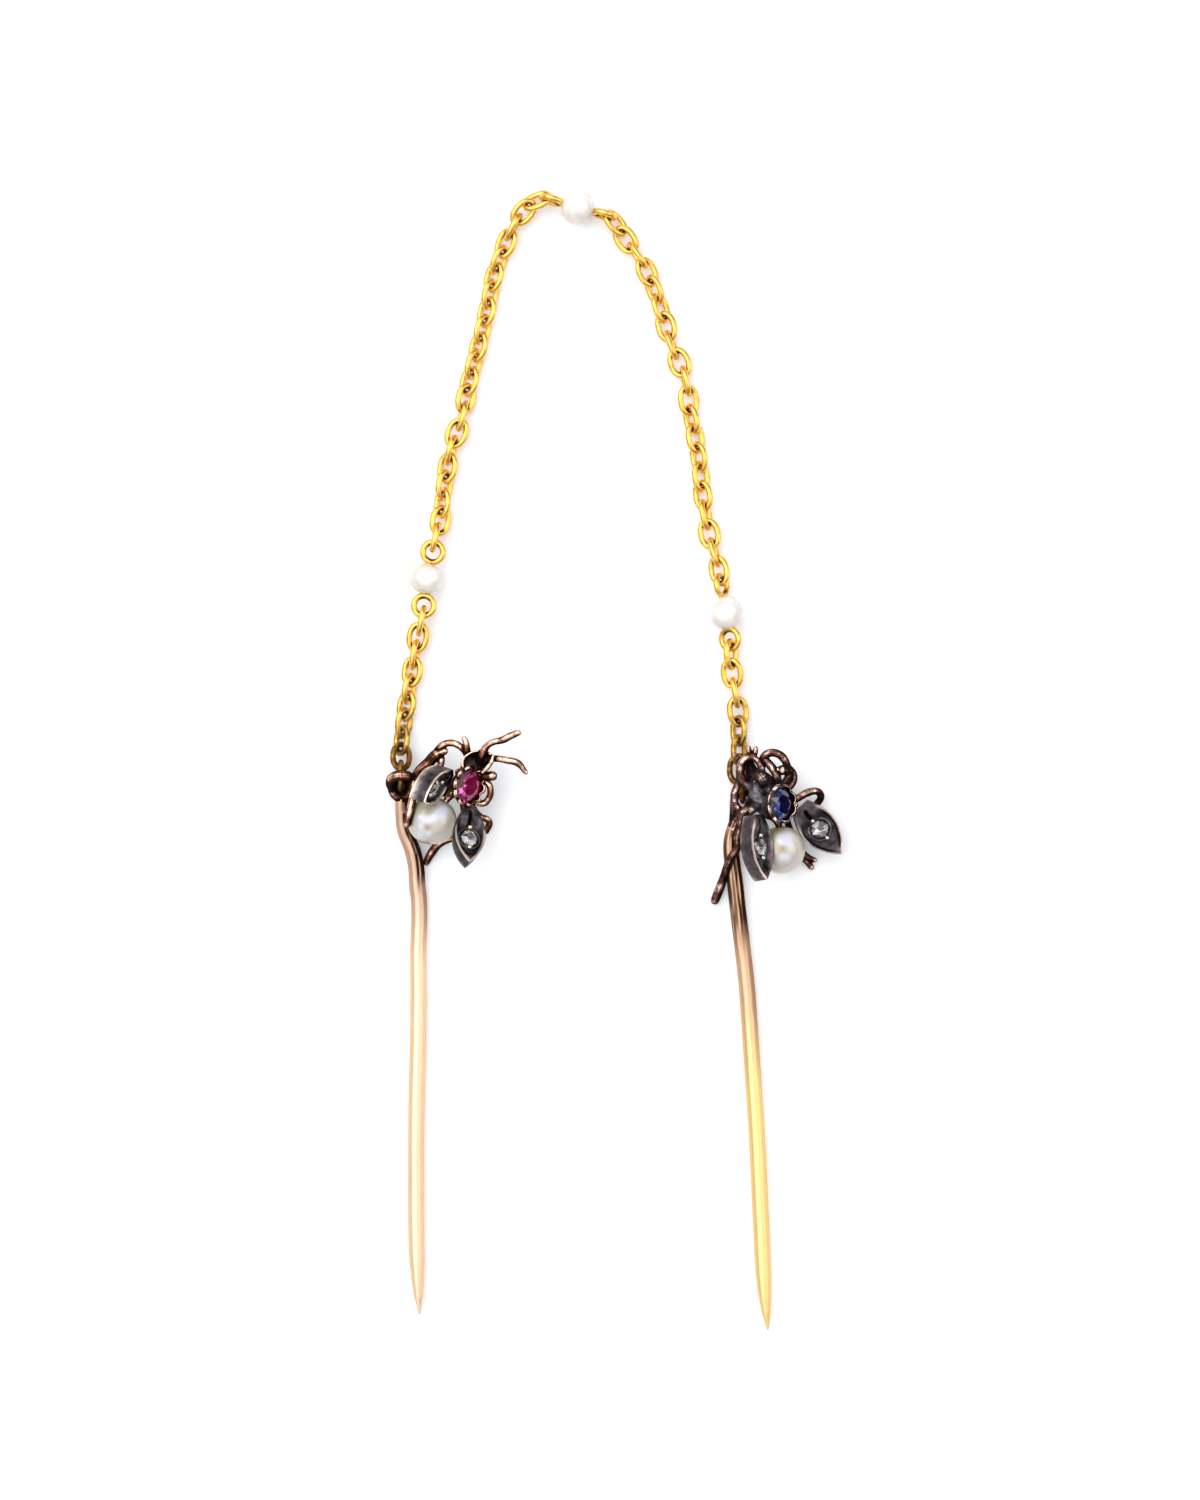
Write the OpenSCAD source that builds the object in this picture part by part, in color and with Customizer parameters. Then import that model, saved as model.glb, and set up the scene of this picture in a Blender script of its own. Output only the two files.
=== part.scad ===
// Double stick pin: two jewelled insect pins joined by a cable chain with three small pearls.
// It lies flat on a surface. +Z is up and +Y runs from the pin points to the arch of the chain.
// The origin is under the middle of the whole, on the surface.

/* [Pins] */
// Diameter of the round lower stem of each pin
stem_d = 1.44; // [1.38:0.01:1.46]
// Length of the straight round stem above the point
shank_len = 18; // [16:0.5:18]
// Length of the tapered point
point_len = 6.3; // [5:0.1:7]
// Height of the stem's axis above the surface
stem_z = 0.73; // [0.73:0.01:0.8]

/* [Chain] */
// Thickness of the round wire in the links and eyes
link_wire = 0.48; // [0.42:0.01:0.5]
// Outer length of a link
link_len = 2.9; // [2.86:0.01:2.94]
// Outer width of a link
link_w = 2.05; // [2:0.01:2.1]
// Outer diameter of the eye at each end of a pearl's wire
eye_d = 2.3; // [2.2:0.01:2.36]
// Diameter of a chain pearl
chain_pearl_d = 3.1; // [2.9:0.05:3.15]
// Distance from the middle of a chain pearl to the middle of an eye
eye_reach = 2.44; // [2.4:0.01:2.5]

/* [Insects] */
// Diameter of the pearl abdomen
body_pearl_d = 4.3; // [4:0.05:4.35]
// Diameter of the round cut stone in the thorax
stone_d = 3; // [2.6:0.05:3.05]
// Height of the collet that holds it
collet_h = 1.6; // [1.5:0.05:1.7]
// Width of a silver wing at its widest
wing_w = 2.7; // [2.4:0.05:2.8]
// Thickness of a silver wing
wing_t = 1.3; // [1.1:0.05:1.35]
// Diameter of the rose-cut diamond in a wing
diamond_d = 1.7; // [1.5:0.05:1.8]

/* [Hidden] */
$fn = 40;

// Fit between a stone or pearl and the metal round it
seat_gap = 0.06;
stem_r = stem_d / 2;
rose_gold = "#b98663";
yellow_gold = "#d9a92f";
dark_silver = "#5b5558";
pearl_white = "#efe9da";

// Vectors

function unit(v) = v / norm(v);
function spot(row) = [row[0], row[1], row[2]];

// Rows between the given rows on a smooth curve through them. Each column is blended alike.
function blend_rows(a, b, c, d, t) =
  0.5 * (2 * b + (c - a) * t + (2 * a - 5 * b + 4 * c - d) * t * t
    + (3 * b - a - 3 * c + d) * t * t * t);
function smooth_rows(rows, steps) = [
  for (i = [0 : len(rows) - 2]) for (j = [0 : steps - 1])
    blend_rows(rows[max(i - 1, 0)], rows[i], rows[i + 1], rows[min(i + 2, len(rows) - 1)], j / steps),
  rows[len(rows) - 1]];

// A wire or body of varying thickness through rows of x, y, z and radius, as one closed skin.
module swept(rows, sides, steps) {
  path = smooth_rows(rows, steps);
  last = len(path) - 1;
  tangents = [for (i = [0 : last])
    unit(spot(path[min(i + 1, last)]) - spot(path[max(i - 1, 0)]))];
  rings = [for (i = [0 : last])
    let (side = unit(cross(tangents[i], [0.13, 0.08, 1])), across = cross(side, tangents[i]))
    for (k = [0 : sides - 1])
      spot(path[i]) + path[i][3] * (cos(360 * k / sides) * side + sin(360 * k / sides) * across)];
  walls = [for (i = [0 : last - 1]) for (k = [0 : sides - 1])
    let (a = i * sides + k, b = i * sides + (k + 1) % sides)
    each [[a, b, a + sides], [b, b + sides, a + sides]]];
  start_cap = [[for (k = [sides - 1 : -1 : 0]) k]];
  end_cap = [[for (k = [0 : sides - 1]) last * sides + k]];
  polyhedron(points = rings, faces = concat(walls, start_cap, end_cap));
}

// Sets what is drawn at the origin with its X axis along a direction and its Z axis near another.
module aimed(at, along, facing) {
  x = unit(along);
  z = unit(facing - (facing * x) * x);
  y = cross(z, x);
  multmatrix([[x[0], y[0], z[0], at[0]], [x[1], y[1], z[1], at[1]], [x[2], y[2], z[2], at[2]],
    [0, 0, 0, 1]]) children();
}

// Pin stems. The straight shank and its point are true round solids, because they are what fits.

left_tip = [-17.6, -49.8, stem_z];
left_run = [0, 1, 0];
right_tip = [13.72, -51.2, stem_z];
right_run = [-0.0505, 1, 0];

// Bent upper stem of each pin: x, y, z and radius, from inside the shank to the soldered body
left_stem_rows = [
  [-17.6, -26.2, 0.73, 0.66], [-17.58, -24.5, 0.73, 0.72], [-17.54, -20.8, 0.73, 0.72],
  [-17.56, -17.2, 0.73, 0.72], [-17.46, -13.9, 0.73, 0.72], [-17.5, -12.5, 0.73, 0.72],
  [-17.65, -11.2, 0.75, 0.73], [-17.83, -9.8, 0.8, 0.73], [-18.12, -8.3, 0.9, 0.72],
  [-18.8, -6.2, 1.1, 0.64], [-19.02, -4.6, 1.4, 0.56], [-19.08, -3.7, 1.7, 0.45]];
right_stem_rows = [
  [12.51, -27.3, 0.73, 0.66], [12.43, -26, 0.73, 0.72], [12.24, -23.6, 0.73, 0.72],
  [11.97, -20.2, 0.73, 0.72], [11.57, -16.6, 0.73, 0.72], [11.14, -13, 0.73, 0.72],
  [10.92, -11, 0.75, 0.73], [10.68, -9.1, 0.8, 0.72], [10.55, -7.6, 0.88, 0.68],
  [10.78, -6.2, 1, 0.62],
  [11.25, -5.2, 1.25, 0.55], [11.95, -4.6, 1.7, 0.5], [12.6, -4.1, 2.3, 0.5],
  [13.2, -3.6, 2.8, 0.5]];

module shank(tip, run) {
  arc_r = (point_len * point_len + stem_r * stem_r) / stem_d;
  blunt = 0.2;
  aimed(tip, run, [0, 0, 1]) rotate([0, 90, 0]) {
    translate([0, 0, point_len]) cylinder(h = shank_len, r = stem_r);
    translate([0, 0, point_len]) mirror([0, 0, 1]) rotate_extrude()
      intersection() {
        translate([stem_r - arc_r, 0]) circle(r = arc_r, $fn = 200);
        square([stem_r, point_len - blunt]);
      }
  }
}

// Insect bodies: each row is x, y, z and radius of the soldered gold mass and its wires.

left_body_rows = [[-15.45, -4.25, 3.07, 0.26], [-14.95, -3.53, 3.1, 0.26],
  [-14.6, -3, 2.95, 0.45], [-13.95, -2.3, 2.55, 0.8],
  [-13.2, -1.2, 2.8, 0.7], [-12.7, -0.25, 3.3, 0.5], [-12, -0.2, 3.7, 0.75], [-11.5, -0.35, 4, 0.9]];
left_wires = [
  // eye at the end of the stem, the strap of it that is curled over the last link, and the strap
  // from it to the body
  [[-19.08, -3.4, 1.7, 0.36], [-19.64, -3.05, 1.85, 0.33], [-19.87, -2.35, 1.95, 0.33],
    [-19.65, -1.7, 2.02, 0.33], [-19.08, -1.42, 2.05, 0.33], [-18.5, -1.65, 2.05, 0.33],
    [-18.22, -2.35, 2, 0.33], [-18.42, -3.05, 1.85, 0.33], [-18.95, -3.4, 1.7, 0.36]],
  [[-19.8, -2.4, 1.95, 0.33], [-20, -2, 2.7, 0.34], [-19.7, -1.75, 3.4, 0.36],
    [-19.08, -1.6, 3.72, 0.38], [-18.45, -1.65, 3.4, 0.36], [-18.1, -1.9, 2.75, 0.34],
    [-17.9, -2.1, 2.2, 0.33]],
  [[-18.3, -1.75, 2.05, 0.32], [-17.2, -2.1, 2.15, 0.45], [-16, -2.5, 2.2, 0.48],
    [-15, -2.7, 2.5, 0.55], [-14, -2.8, 2.8, 0.5]],
  // antennae
  [[-11.9, -0.1, 3.8, 0.3], [-11.4, 1.2, 4.5, 0.26], [-10.8, 1.65, 4.9, 0.26],
    [-9.9, 1.85, 5.1, 0.28], [-9.2, 2.2, 5.3, 0.3], [-8.5, 2.5, 5.4, 0.3]],
  [[-11.6, 0, 3.9, 0.3], [-10.85, 0.2, 4.1, 0.26], [-9.45, 0, 4.4, 0.26],
    [-8.55, -0.2, 4.4, 0.3], [-7.85, -1.05, 4.2, 0.22]],
  // arched fore leg, and the leg that runs on behind the upper wing and over the edge of the pearl
  [[-12.9, -0.1, 3.3, 0.3], [-13.55, 1.1, 3.3, 0.28], [-14.5, 1.6, 3, 0.28],
    [-15.3, 1.4, 2.7, 0.28], [-15.85, 0.85, 2.3, 0.28]],
  [[-15.2, 0.85, 2.6, 0.28], [-15.8, 0.7, 2.35, 0.34], [-16.9, -0.3, 2.2, 0.32],
    [-17.5, -1, 2.5, 0.3], [-17.8, -2, 3.2, 0.28], [-18, -3.5, 4, 0.28],
    [-18.25, -4.6, 4.35, 0.28], [-18.45, -5.6, 4.2, 0.28]],
  [[-15.85, 0.55, 2.3, 0.25], [-15.5, -0.5, 2.5, 0.22]],
  // upright spur, eye, hind loop
  [[-13, 0, 3.4, 0.28], [-13.15, 1.3, 3.8, 0.26], [-13.35, 2, 3.9, 0.16]],
  [[-11.7, -0.5, 3.9, 0.35], [-11.05, -1.1, 4, 0.33], [-10.5, -1.32, 4, 0.28]],
  [[-13.1, -1.4, 2.6, 0.3], [-12, -1.6, 2.6, 0.27], [-11.25, -2.05, 2.65, 0.27],
    [-11.02, -2.75, 2.65, 0.27], [-11.2, -3.4, 2.6, 0.27], [-11.75, -3.85, 2.5, 0.27],
    [-12.4, -3.6, 2.4, 0.27], [-13.3, -2.9, 2.5, 0.3]],
  // hind legs under the lower wing
  [[-13.4, -2.9, 2.4, 0.3], [-12.6, -4.2, 1.8, 0.25], [-12, -5, 1.5, 0.25],
    [-11.2, -5.45, 1, 0.25], [-11.45, -6.35, 0.27, 0.25]],
  [[-13.7, -2.9, 2.4, 0.32], [-13.4, -5, 1.9, 0.32], [-14.1, -6.75, 1.6, 0.32],
    [-14.95, -7.1, 1.4, 0.34], [-15.75, -7.55, 1.05, 0.34], [-16.3, -8.2, 0.7, 0.34],
    [-16.8, -9.05, 0.34, 0.32]],
  // tangs that carry the wings
  [[-13.6, -1.8, 3.1, 0.4], [-13.9, -1, 4, 0.3]],
  [[-13.5, -2.6, 2.8, 0.4], [-12.95, -3.75, 2.85, 0.3]]];

right_body_rows = [[14.87, -6.55, 2.88, 0.26], [14.8, -5.8, 3.02, 0.26], [14.6, -5.2, 3.05, 0.42],
  [13.9, -4.4, 3.1, 0.85],
  [13.1, -3.4, 3.3, 0.85], [12.75, -2.6, 3.4, 0.65], [12.6, -1.8, 3.4, 0.55]];
right_wires = [
  // catch low under the body that holds the chain
  [[10.8, -5.9, 1, 0.4], [10.85, -4.5, 1.1, 0.34], [10.85, -3.6, 1.1, 0.33],
    [11.08, -3, 1.1, 0.33], [11.5, -2.82, 1.1, 0.33], [12.05, -2.85, 1.3, 0.34],
    [12.7, -3.1, 1.9, 0.4], [13.3, -3.5, 2.7, 0.45]],
  // looped forelegs and eyes
  [[11.8, -2.2, 3.1, 0.3], [11.25, -0.8, 3.1, 0.26], [11.45, 0.1, 3.2, 0.26],
    [12.05, 0.42, 3.4, 0.26], [12.6, 0.1, 3.5, 0.26], [12.8, -0.7, 3.5, 0.26],
    [12.7, -1.7, 3.4, 0.3]],
  [[11.4, -1.4, 3, 0.26], [11.05, -2.3, 2.95, 0.26], [10.8, -3.35, 2.95, 0.28],
    [11.05, -4.1, 3, 0.28], [11.6, -4.55, 3.2, 0.28], [12.6, -4.2, 3.4, 0.3]],
  [[12.7, -1.7, 3.2, 0.3], [13.3, -0.45, 3.2, 0.28], [13.4, 0.15, 3.4, 0.27],
    [13.8, 0.6, 3.6, 0.27], [14.5, 0.65, 3.7, 0.27], [15.15, 0.15, 3.7, 0.27],
    [15.6, -0.7, 3.6, 0.27], [15.55, -1.5, 3.4, 0.27], [15, -2.2, 3.1, 0.28],
    [14.2, -3, 2.9, 0.3]],
  [[13.45, 0.2, 3.35, 0.25], [14.1, -1, 3.4, 0.25], [14.5, -1.9, 3.3, 0.25],
    [14.1, -3, 3.1, 0.3]],
  [[15.7, -0.9, 3.6, 0.25], [15.35, -0.86, 3.75, 0.38], [15.05, -0.84, 3.85, 0.42],
    [14.75, -0.82, 3.9, 0.25]],
  [[15.6, -0.5, 3.3, 0.22], [16.2, -1.4, 2.9, 0.25], [15.8, -2.35, 2.8, 0.25],
    [14.4, -3.3, 2.8, 0.28]],
  [[10.85, 0.45, 2.7, 0.18], [11.35, 0, 3.15, 0.2]],
  [[12.1, 1.15, 3.1, 0.18], [12.15, 0.5, 3.4, 0.2]],
  [[12.75, 1.1, 3.2, 0.18], [12.55, 0.35, 3.45, 0.2]],
  // legs
  [[14, -3.6, 2.9, 0.3], [16, -3.6, 2.3, 0.28], [17.4, -2.9, 2, 0.28], [18.3, -2.78, 1.6, 0.28],
    [18.62, -3.25, 1.2, 0.28], [18.35, -3.8, 0.75, 0.28], [17.8, -4.3, 0.3, 0.28]],
  [[12.8, -4, 3.5, 0.4], [11.6, -4.75, 3.45, 0.38], [11.3, -5.95, 3.25, 0.38],
    [11.1, -6.85, 3, 0.34], [11.1, -7.7, 2.6, 0.38], [10.4, -9, 2, 0.34],
    [9.95, -10.3, 1.2, 0.3], [9.7, -11.1, 0.8, 0.32], [9.1, -12.6, 0.36, 0.32]],
  [[14.2, -4.2, 2.7, 0.3], [15.4, -5.2, 2, 0.28], [15.9, -6.3, 1, 0.26],
    [16.4, -7.4, 0.6, 0.26], [16.9, -8.4, 0.45, 0.26], [17.5, -9, 0.38, 0.28],
    [18.15, -9.5, 0.3, 0.28]],
  // tangs that carry the wings
  [[13, -3.9, 3.6, 0.45], [12.4, -4.4, 4.55, 0.32]],
  [[14.6, -4.1, 2.9, 0.4], [16.2, -4, 2.7, 0.3]]];

wire_sides = 8;

module insect_gold(stem_rows, body_rows, wires, tip, run, stone_at, stone_axis) {
  color(rose_gold) {
    shank(tip, run);
    swept(stem_rows, 12, 2);
    swept(body_rows, 10, 2);
    for (rows = wires) swept(rows, wire_sides, 2);
    collet(stone_at, stone_axis);
  }
}

// Thorax: a cup of sheet gold with a scalloped rim, and the cut stone that it holds.

claws = 8;
// Height of the stone's girdle above the foot of the collet
girdle_h = 1.25;
cup_wall = 0.3;
// The collet and the stone are turned about their axis to face this way
girdle_run = [0.1, 1, 0];

module collet(at, axis) {
  rim_r = stone_d / 2 + seat_gap;
  foot_r = 1;
  seat_h = stone_d * 0.3;
  seat_foot_r = 0.75;
  notch_r = 0.32;
  notch_z = collet_h + 0.08;
  aimed(at, girdle_run, axis) translate([0, 0, -girdle_h]) difference() {
    cylinder(h = collet_h, r1 = foot_r, r2 = rim_r + cup_wall);
    translate([0, 0, girdle_h - seat_h]) cylinder(h = seat_h, r1 = seat_foot_r, r2 = rim_r);
    translate([0, 0, girdle_h - 0.01]) cylinder(h = collet_h, r = rim_r);
    for (i = [0 : claws - 1]) rotate([0, 0, 360 * (i + 0.5) / claws])
      translate([rim_r + 0.1, 0, notch_z]) rotate([0, 90, 0])
        cylinder(h = 1, r = notch_r, center = true);
  }
}

// A round stone: a table, sloping crown facets, a thin girdle and a pavilion.
module cut_stone(d, table, crown_h, pavilion_h, sides) {
  thin = 0.02;
  hull() {
    translate([0, 0, crown_h - thin]) cylinder(h = thin, d = d * table, $fn = sides / 2);
    rotate([0, 0, 180 / sides]) translate([0, 0, crown_h * 0.45])
      cylinder(h = thin, d = d * (0.45 + table * 0.55), $fn = sides);
    cylinder(h = 0.06, d = d, $fn = sides);
    translate([0, 0, -pavilion_h]) cylinder(h = thin, d = d * 0.08, $fn = sides / 2);
  }
}

module thorax_stone(at, axis, tint) {
  color(tint) aimed(at, girdle_run, axis) cut_stone(stone_d, 0.55, 0.5, stone_d * 0.27, 16);
}

// Wings: solid silver leaves with a sunk field that holds one stone under two grains.

// Half width of the leaf at a share of its length, widest past the middle
function leaf_half(t, w) = w / 2 * pow(sin(180 * pow(0.12 + 0.88 * t, 1.25)), 0.85);
module leaf(len, w, start, end) {
  parts = 14;
  shares = [for (i = [0 : parts]) i / parts];
  run = end - start;
  upper = [for (t = shares) [start + run * t, leaf_half(t, w)]];
  lower = [for (i = [parts - 1 : -1 : 0]) [upper[i][0], -upper[i][1]]];
  polygon(concat(upper, lower));
}

field_depth = 0.45;
// The field stops short of the root and of the tip
field_from_root = 0.5;
field_from_tip = 0.6;
rim_w = 0.3;
// Depth of a stone's seat under the field
seat_depth = 0.3;
grain_r = 0.2;
grain_lift = 0.12;

// A dished leaf. Its stone sits at a share of its length.
module wing(root, tip, facing, stone_share) {
  len = norm(tip - root);
  color(dark_silver) aimed(root, tip - root, facing) translate([0, 0, -wing_t]) {
    difference() {
      linear_extrude(height = wing_t) leaf(len, wing_w, 0, len);
      translate([0, 0, wing_t - field_depth]) linear_extrude(height = wing_t)
        leaf(len, wing_w - 2 * rim_w, field_from_root, len - field_from_tip);
      translate([len * stone_share, 0, wing_t - field_depth - seat_depth])
        cylinder(h = wing_t, d = diamond_d + 2 * seat_gap);
    }
    for (side = [-1, 1]) translate([len * stone_share
      + side * (diamond_d / 2 + seat_gap + grain_r), 0, wing_t - field_depth + grain_lift])
      sphere(r = grain_r);
  }
}

module wing_stone(root, tip, facing, stone_share) {
  len = norm(tip - root);
  dome_h = 0.62;
  keel_h = 0.1;
  girdle_z = -field_depth - seat_depth + seat_gap + keel_h + 0.02;
  color("#e6e4e2") aimed(root, tip - root, facing)
    translate([len * stone_share, 0, girdle_z]) cut_stone(diamond_d, 0.35, dome_h, keel_h, 12);
}

// Pearls

peg_r = 0.28;

// An abdomen pearl, bored for a peg that comes in from a point towards its middle.
module bored_pearl(at, d, peg_from) {
  bore_depth = 1.1;
  color(pearl_white) difference() {
    translate(at) sphere(d = d);
    aimed(peg_from, at - peg_from, [0, 0.1, 1]) rotate([0, 90, 0])
      translate([0, 0, -1]) cylinder(h = bore_depth + 1, r = peg_r + seat_gap);
  }
}

// A small pearl bored right through, with a little flat round each mouth of the bore.
module chain_pearl(at, run) {
  flat = 0.2;
  bore_d = link_wire + 0.2;
  half = chain_pearl_d / 2 - flat;
  color("#f6f4ee") aimed(at, run, [0, 0, 1]) rotate([0, 90, 0]) difference() {
    intersection() {
      sphere(d = chain_pearl_d);
      cylinder(h = 2 * half, d = chain_pearl_d + 1, center = true);
    }
    cylinder(h = 4 * half, d = bore_d, center = true);
  }
}

// A pearl's wire, turned into an eye at each end. Each eye has its own roll about the wire.
module pearl_wire(at, run, roll_back, roll_front) {
  eye_r = (eye_d - link_wire) / 2;
  color(yellow_gold) aimed(at, run, [0, 0, 1]) {
    rotate([0, 90, 0]) cylinder(h = 2 * (eye_reach - eye_r), d = link_wire, center = true);
    for (end = [[-1, roll_back], [1, roll_front]]) translate([end[0] * eye_reach, 0, 0])
      rotate([-end[1], 0, 0]) rotate_extrude() translate([eye_r, 0]) circle(d = link_wire);
  }
}

// Chain: oval links of round wire, each threaded through the next with a clear gap.

module link() {
  bend_r = (link_w - link_wire) / 2;
  straight = link_len - link_w;
  for (end = [0, 180]) rotate([0, 0, end]) translate([straight / 2, 0, 0]) rotate([0, 0, -90])
    rotate_extrude(angle = 180) translate([bend_r, 0]) circle(d = link_wire);
  for (side = [-1, 1]) translate([0, side * bend_r, 0]) rotate([0, 90, 0])
    cylinder(h = straight, d = link_wire, center = true);
}

// A link round a point, along a direction, rolled about that direction.
module link_at(at, along, roll) {
  aimed(at, along, [0, 0, 1]) rotate([-roll, 0, 0]) link();
}

// A run of links evenly spaced along a route. Each row is x, y, z and the twist of the chain there.
// The first and last links stand the lead and the trail in from the ends of the route.
// Every link is turned a quarter more than the last, so that they thread each other.
module link_run(route, count, lead, trail) {
  path = smooth_rows(route, 8);
  steps = [for (i = [1 : len(path) - 1]) norm(spot(path[i]) - spot(path[i - 1]))];
  last = len(path) - 1;
  reach = [for (i = 0, sum = 0; i <= last; sum = sum + (i < last ? steps[i] : 0), i = i + 1) sum];
  table = [for (column = [0 : 3]) [for (i = [0 : last]) [reach[i], path[i][column]]]];
  pitch = (reach[last] - lead - trail) / (count - 1);
  function on_route(s) = [for (column = [0 : 3]) lookup(s, table[column])];
  for (k = [0 : count - 1]) {
    centre = on_route(lead + k * pitch);
    ahead = on_route(lead + (k + 0.5) * pitch);
    behind = on_route(lead + (k - 0.5) * pitch);
    link_at(spot(centre), spot(ahead) - spot(behind), centre[3] + 90 * k);
  }
}

left_chain_pearl = [-16.62, 16.3, 1.56];
top_chain_pearl = [-3.2, 49.65, 1.56];
right_chain_pearl = [10.08, 13.3, 1.56];
left_chain_run = [0.17, 1, 0];
top_chain_run = [1, -0.28, 0];
right_chain_run = [-0.16, 1, 0];
// From the middle of an eye to the middle of the link that hangs in it
eye_lead = 1.36;

// The row of a route at the middle of an eye
function eye_row(pearl, run, side, twist) =
  let (at = pearl + side * eye_reach * unit(run)) [at[0], at[1], at[2], twist];

left_last_link = [-19.08, -1.35, 2.05];
left_low_route = [[-19.08, -0.6, 1.98, 170], [-19.07, 0.36, 1.5, 160], [-19.02, 1.9, 0.98, 140],
  [-18.73, 4.2, 0.9, 130], [-18.18, 7.44, 0.98, 115], [-17.63, 10.8, 1.2, 93],
  [-17.26, 12.55, 1.5, 90], eye_row(left_chain_pearl, left_chain_run, -1, 90)];
left_high_route = [eye_row(left_chain_pearl, left_chain_run, 1, 270), [-15.98, 20.1, 1.5, 270],
  [-15.55, 21.6, 1.15, 240], [-15.22, 24.6, 0.9, 222],
  [-14.61, 27.7, 1.03, 195], [-13.65, 30.85, 1.05, 172], [-12.99, 33.96, 0.88, 132],
  [-12.14, 37.2, 0.87, 130], [-11.34, 40.6, 0.87, 130], [-10.69, 43.7, 0.88, 128],
  [-9.47, 46.89, 1.01, 114], [-8.36, 48.93, 1.21, 73], [-6.85, 50.27, 1.28, 44],
  eye_row(top_chain_pearl, top_chain_run, -1, 45)];
right_low_route = [[11.55, -3.3, 1.1, 85], [11.45, -2.5, 1.1, 85], [11.2, -0.95, 1.07, 105],
  [11.28, 0.65, 0.97, 130], [11.25, 2.4, 0.88, 138], [11.2, 4.16, 0.98, 160],
  [10.95, 5.93, 1.08, 180], [10.67, 7.6, 1.2, 190], [10.55, 9.45, 1.5, 212],
  eye_row(right_chain_pearl, right_chain_run, -1, 212)];
right_high_route = [eye_row(right_chain_pearl, right_chain_run, 1, 30), [9.46, 17.11, 1.49, 29],
  [8.97, 19.07, 1.1, 8], [8.62, 20.31, 1.09, 5],
  [8.02, 23.83, 0.93, 38], [7.64, 27.39, 0.88, 50], [6.94, 30.94, 0.92, 58],
  [6.37, 34.49, 1.05, 88], [5.16, 37.56, 1.03, 102], [4.12, 41.05, 0.88, 132],
  [2.79, 44.29, 1.03, 158], [1.04, 46.9, 1.05, 200], [0.12, 48.36, 1.14, 228],
  eye_row(top_chain_pearl, top_chain_run, 1, 225)];

// Places of the stones, pearls and wings

ruby_at = [-13.03, -2.26, 4.3];
ruby_axis = [0.64, -0.14, 0.756];
left_pearl_at = [-16.22, -5.37, 3];
left_peg = [-15.1, -3.75, 3.09];
left_upper_root = [-14.3, -1.1, 4.7];
left_upper_tip = [-16.8, -3.75, 7.9];
left_upper_face = [0.81, -0.33, 0.48];
left_upper_share = 0.55;
left_lower_root = [-12.75, -4.05, 3.75];
left_lower_tip = [-12.8, -8.95, 6.6];
left_lower_face = [0.35, 0.48, 0.8];
left_lower_share = 0.55;

sapphire_at = [14.92, -3.87, 4.6];
sapphire_axis = [0.68, 0, 0.73];
right_pearl_at = [15.01, -8.02, 2.6];
right_peg = [14.84, -6.2, 2.95];
right_upper_root = [13.05, -4.8, 5.65];
right_upper_tip = [13.68, -10.6, 6.2];
right_upper_face = [0.78, 0.15, 0.6];
right_upper_share = 0.49;
right_lower_root = [16.83, -4.25, 3.2];
right_lower_tip = [20.39, -8.11, 2.4];
right_lower_face = [0.1, -0.1, 0.99];
right_lower_share = 0.47;

module left_pin()
  insect_gold(left_stem_rows, left_body_rows, left_wires, left_tip, left_run, ruby_at, ruby_axis);
module right_pin()
  insect_gold(right_stem_rows, right_body_rows, right_wires, right_tip, right_run,
    sapphire_at, sapphire_axis);
module left_wing_upper() wing(left_upper_root, left_upper_tip, left_upper_face, left_upper_share);
module left_wing_lower() wing(left_lower_root, left_lower_tip, left_lower_face, left_lower_share);
module right_wing_upper() wing(right_upper_root, right_upper_tip, right_upper_face, right_upper_share);
module right_wing_lower() wing(right_lower_root, right_lower_tip, right_lower_face, right_lower_share);
module left_diamond_upper() wing_stone(left_upper_root, left_upper_tip, left_upper_face, left_upper_share);
module left_diamond_lower() wing_stone(left_lower_root, left_lower_tip, left_lower_face, left_lower_share);
module right_diamond_upper() wing_stone(right_upper_root, right_upper_tip, right_upper_face, right_upper_share);
module right_diamond_lower() wing_stone(right_lower_root, right_lower_tip, right_lower_face, right_lower_share);
module left_ruby() thorax_stone(ruby_at, ruby_axis, "#b0155c");
module right_sapphire() thorax_stone(sapphire_at, sapphire_axis, "#1c2c8c");
module left_pearl() bored_pearl(left_pearl_at, body_pearl_d, left_peg);
module right_pearl() bored_pearl(right_pearl_at, body_pearl_d, right_peg);
module chain_left() color(yellow_gold) {
  link_at(left_last_link, [0, 1, 0], 90);
  link_run(left_low_route, 9, 1.06, eye_lead);
  link_run(left_high_route, 21, eye_lead, eye_lead);
}
module chain_right() color(yellow_gold) {
  link_run(right_low_route, 8, 0.8, eye_lead);
  link_run(right_high_route, 20, eye_lead, eye_lead);
}
module chain_pearl_left() chain_pearl(left_chain_pearl, left_chain_run);
module chain_pearl_top() chain_pearl(top_chain_pearl, top_chain_run);
module chain_pearl_right() chain_pearl(right_chain_pearl, right_chain_run);
module pearl_wire_left() pearl_wire(left_chain_pearl, left_chain_run, 0, 0);
module pearl_wire_top() pearl_wire(top_chain_pearl, top_chain_run, 100, 100);
module pearl_wire_right() pearl_wire(right_chain_pearl, right_chain_run, 35, -60);

left_pin();
left_wing_upper();
left_wing_lower();
left_ruby();
left_pearl();
left_diamond_upper();
left_diamond_lower();
right_pin();
right_wing_upper();
right_wing_lower();
right_sapphire();
right_pearl();
right_diamond_upper();
right_diamond_lower();
chain_left();
chain_right();
chain_pearl_left();
chain_pearl_top();
chain_pearl_right();
pearl_wire_left();
pearl_wire_top();
pearl_wire_right();
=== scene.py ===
import random
from math import atan2, copysign, exp, pi, radians, sin

import bmesh
import bpy
import numpy as np
from mathutils import Matrix, Vector, noise


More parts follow.
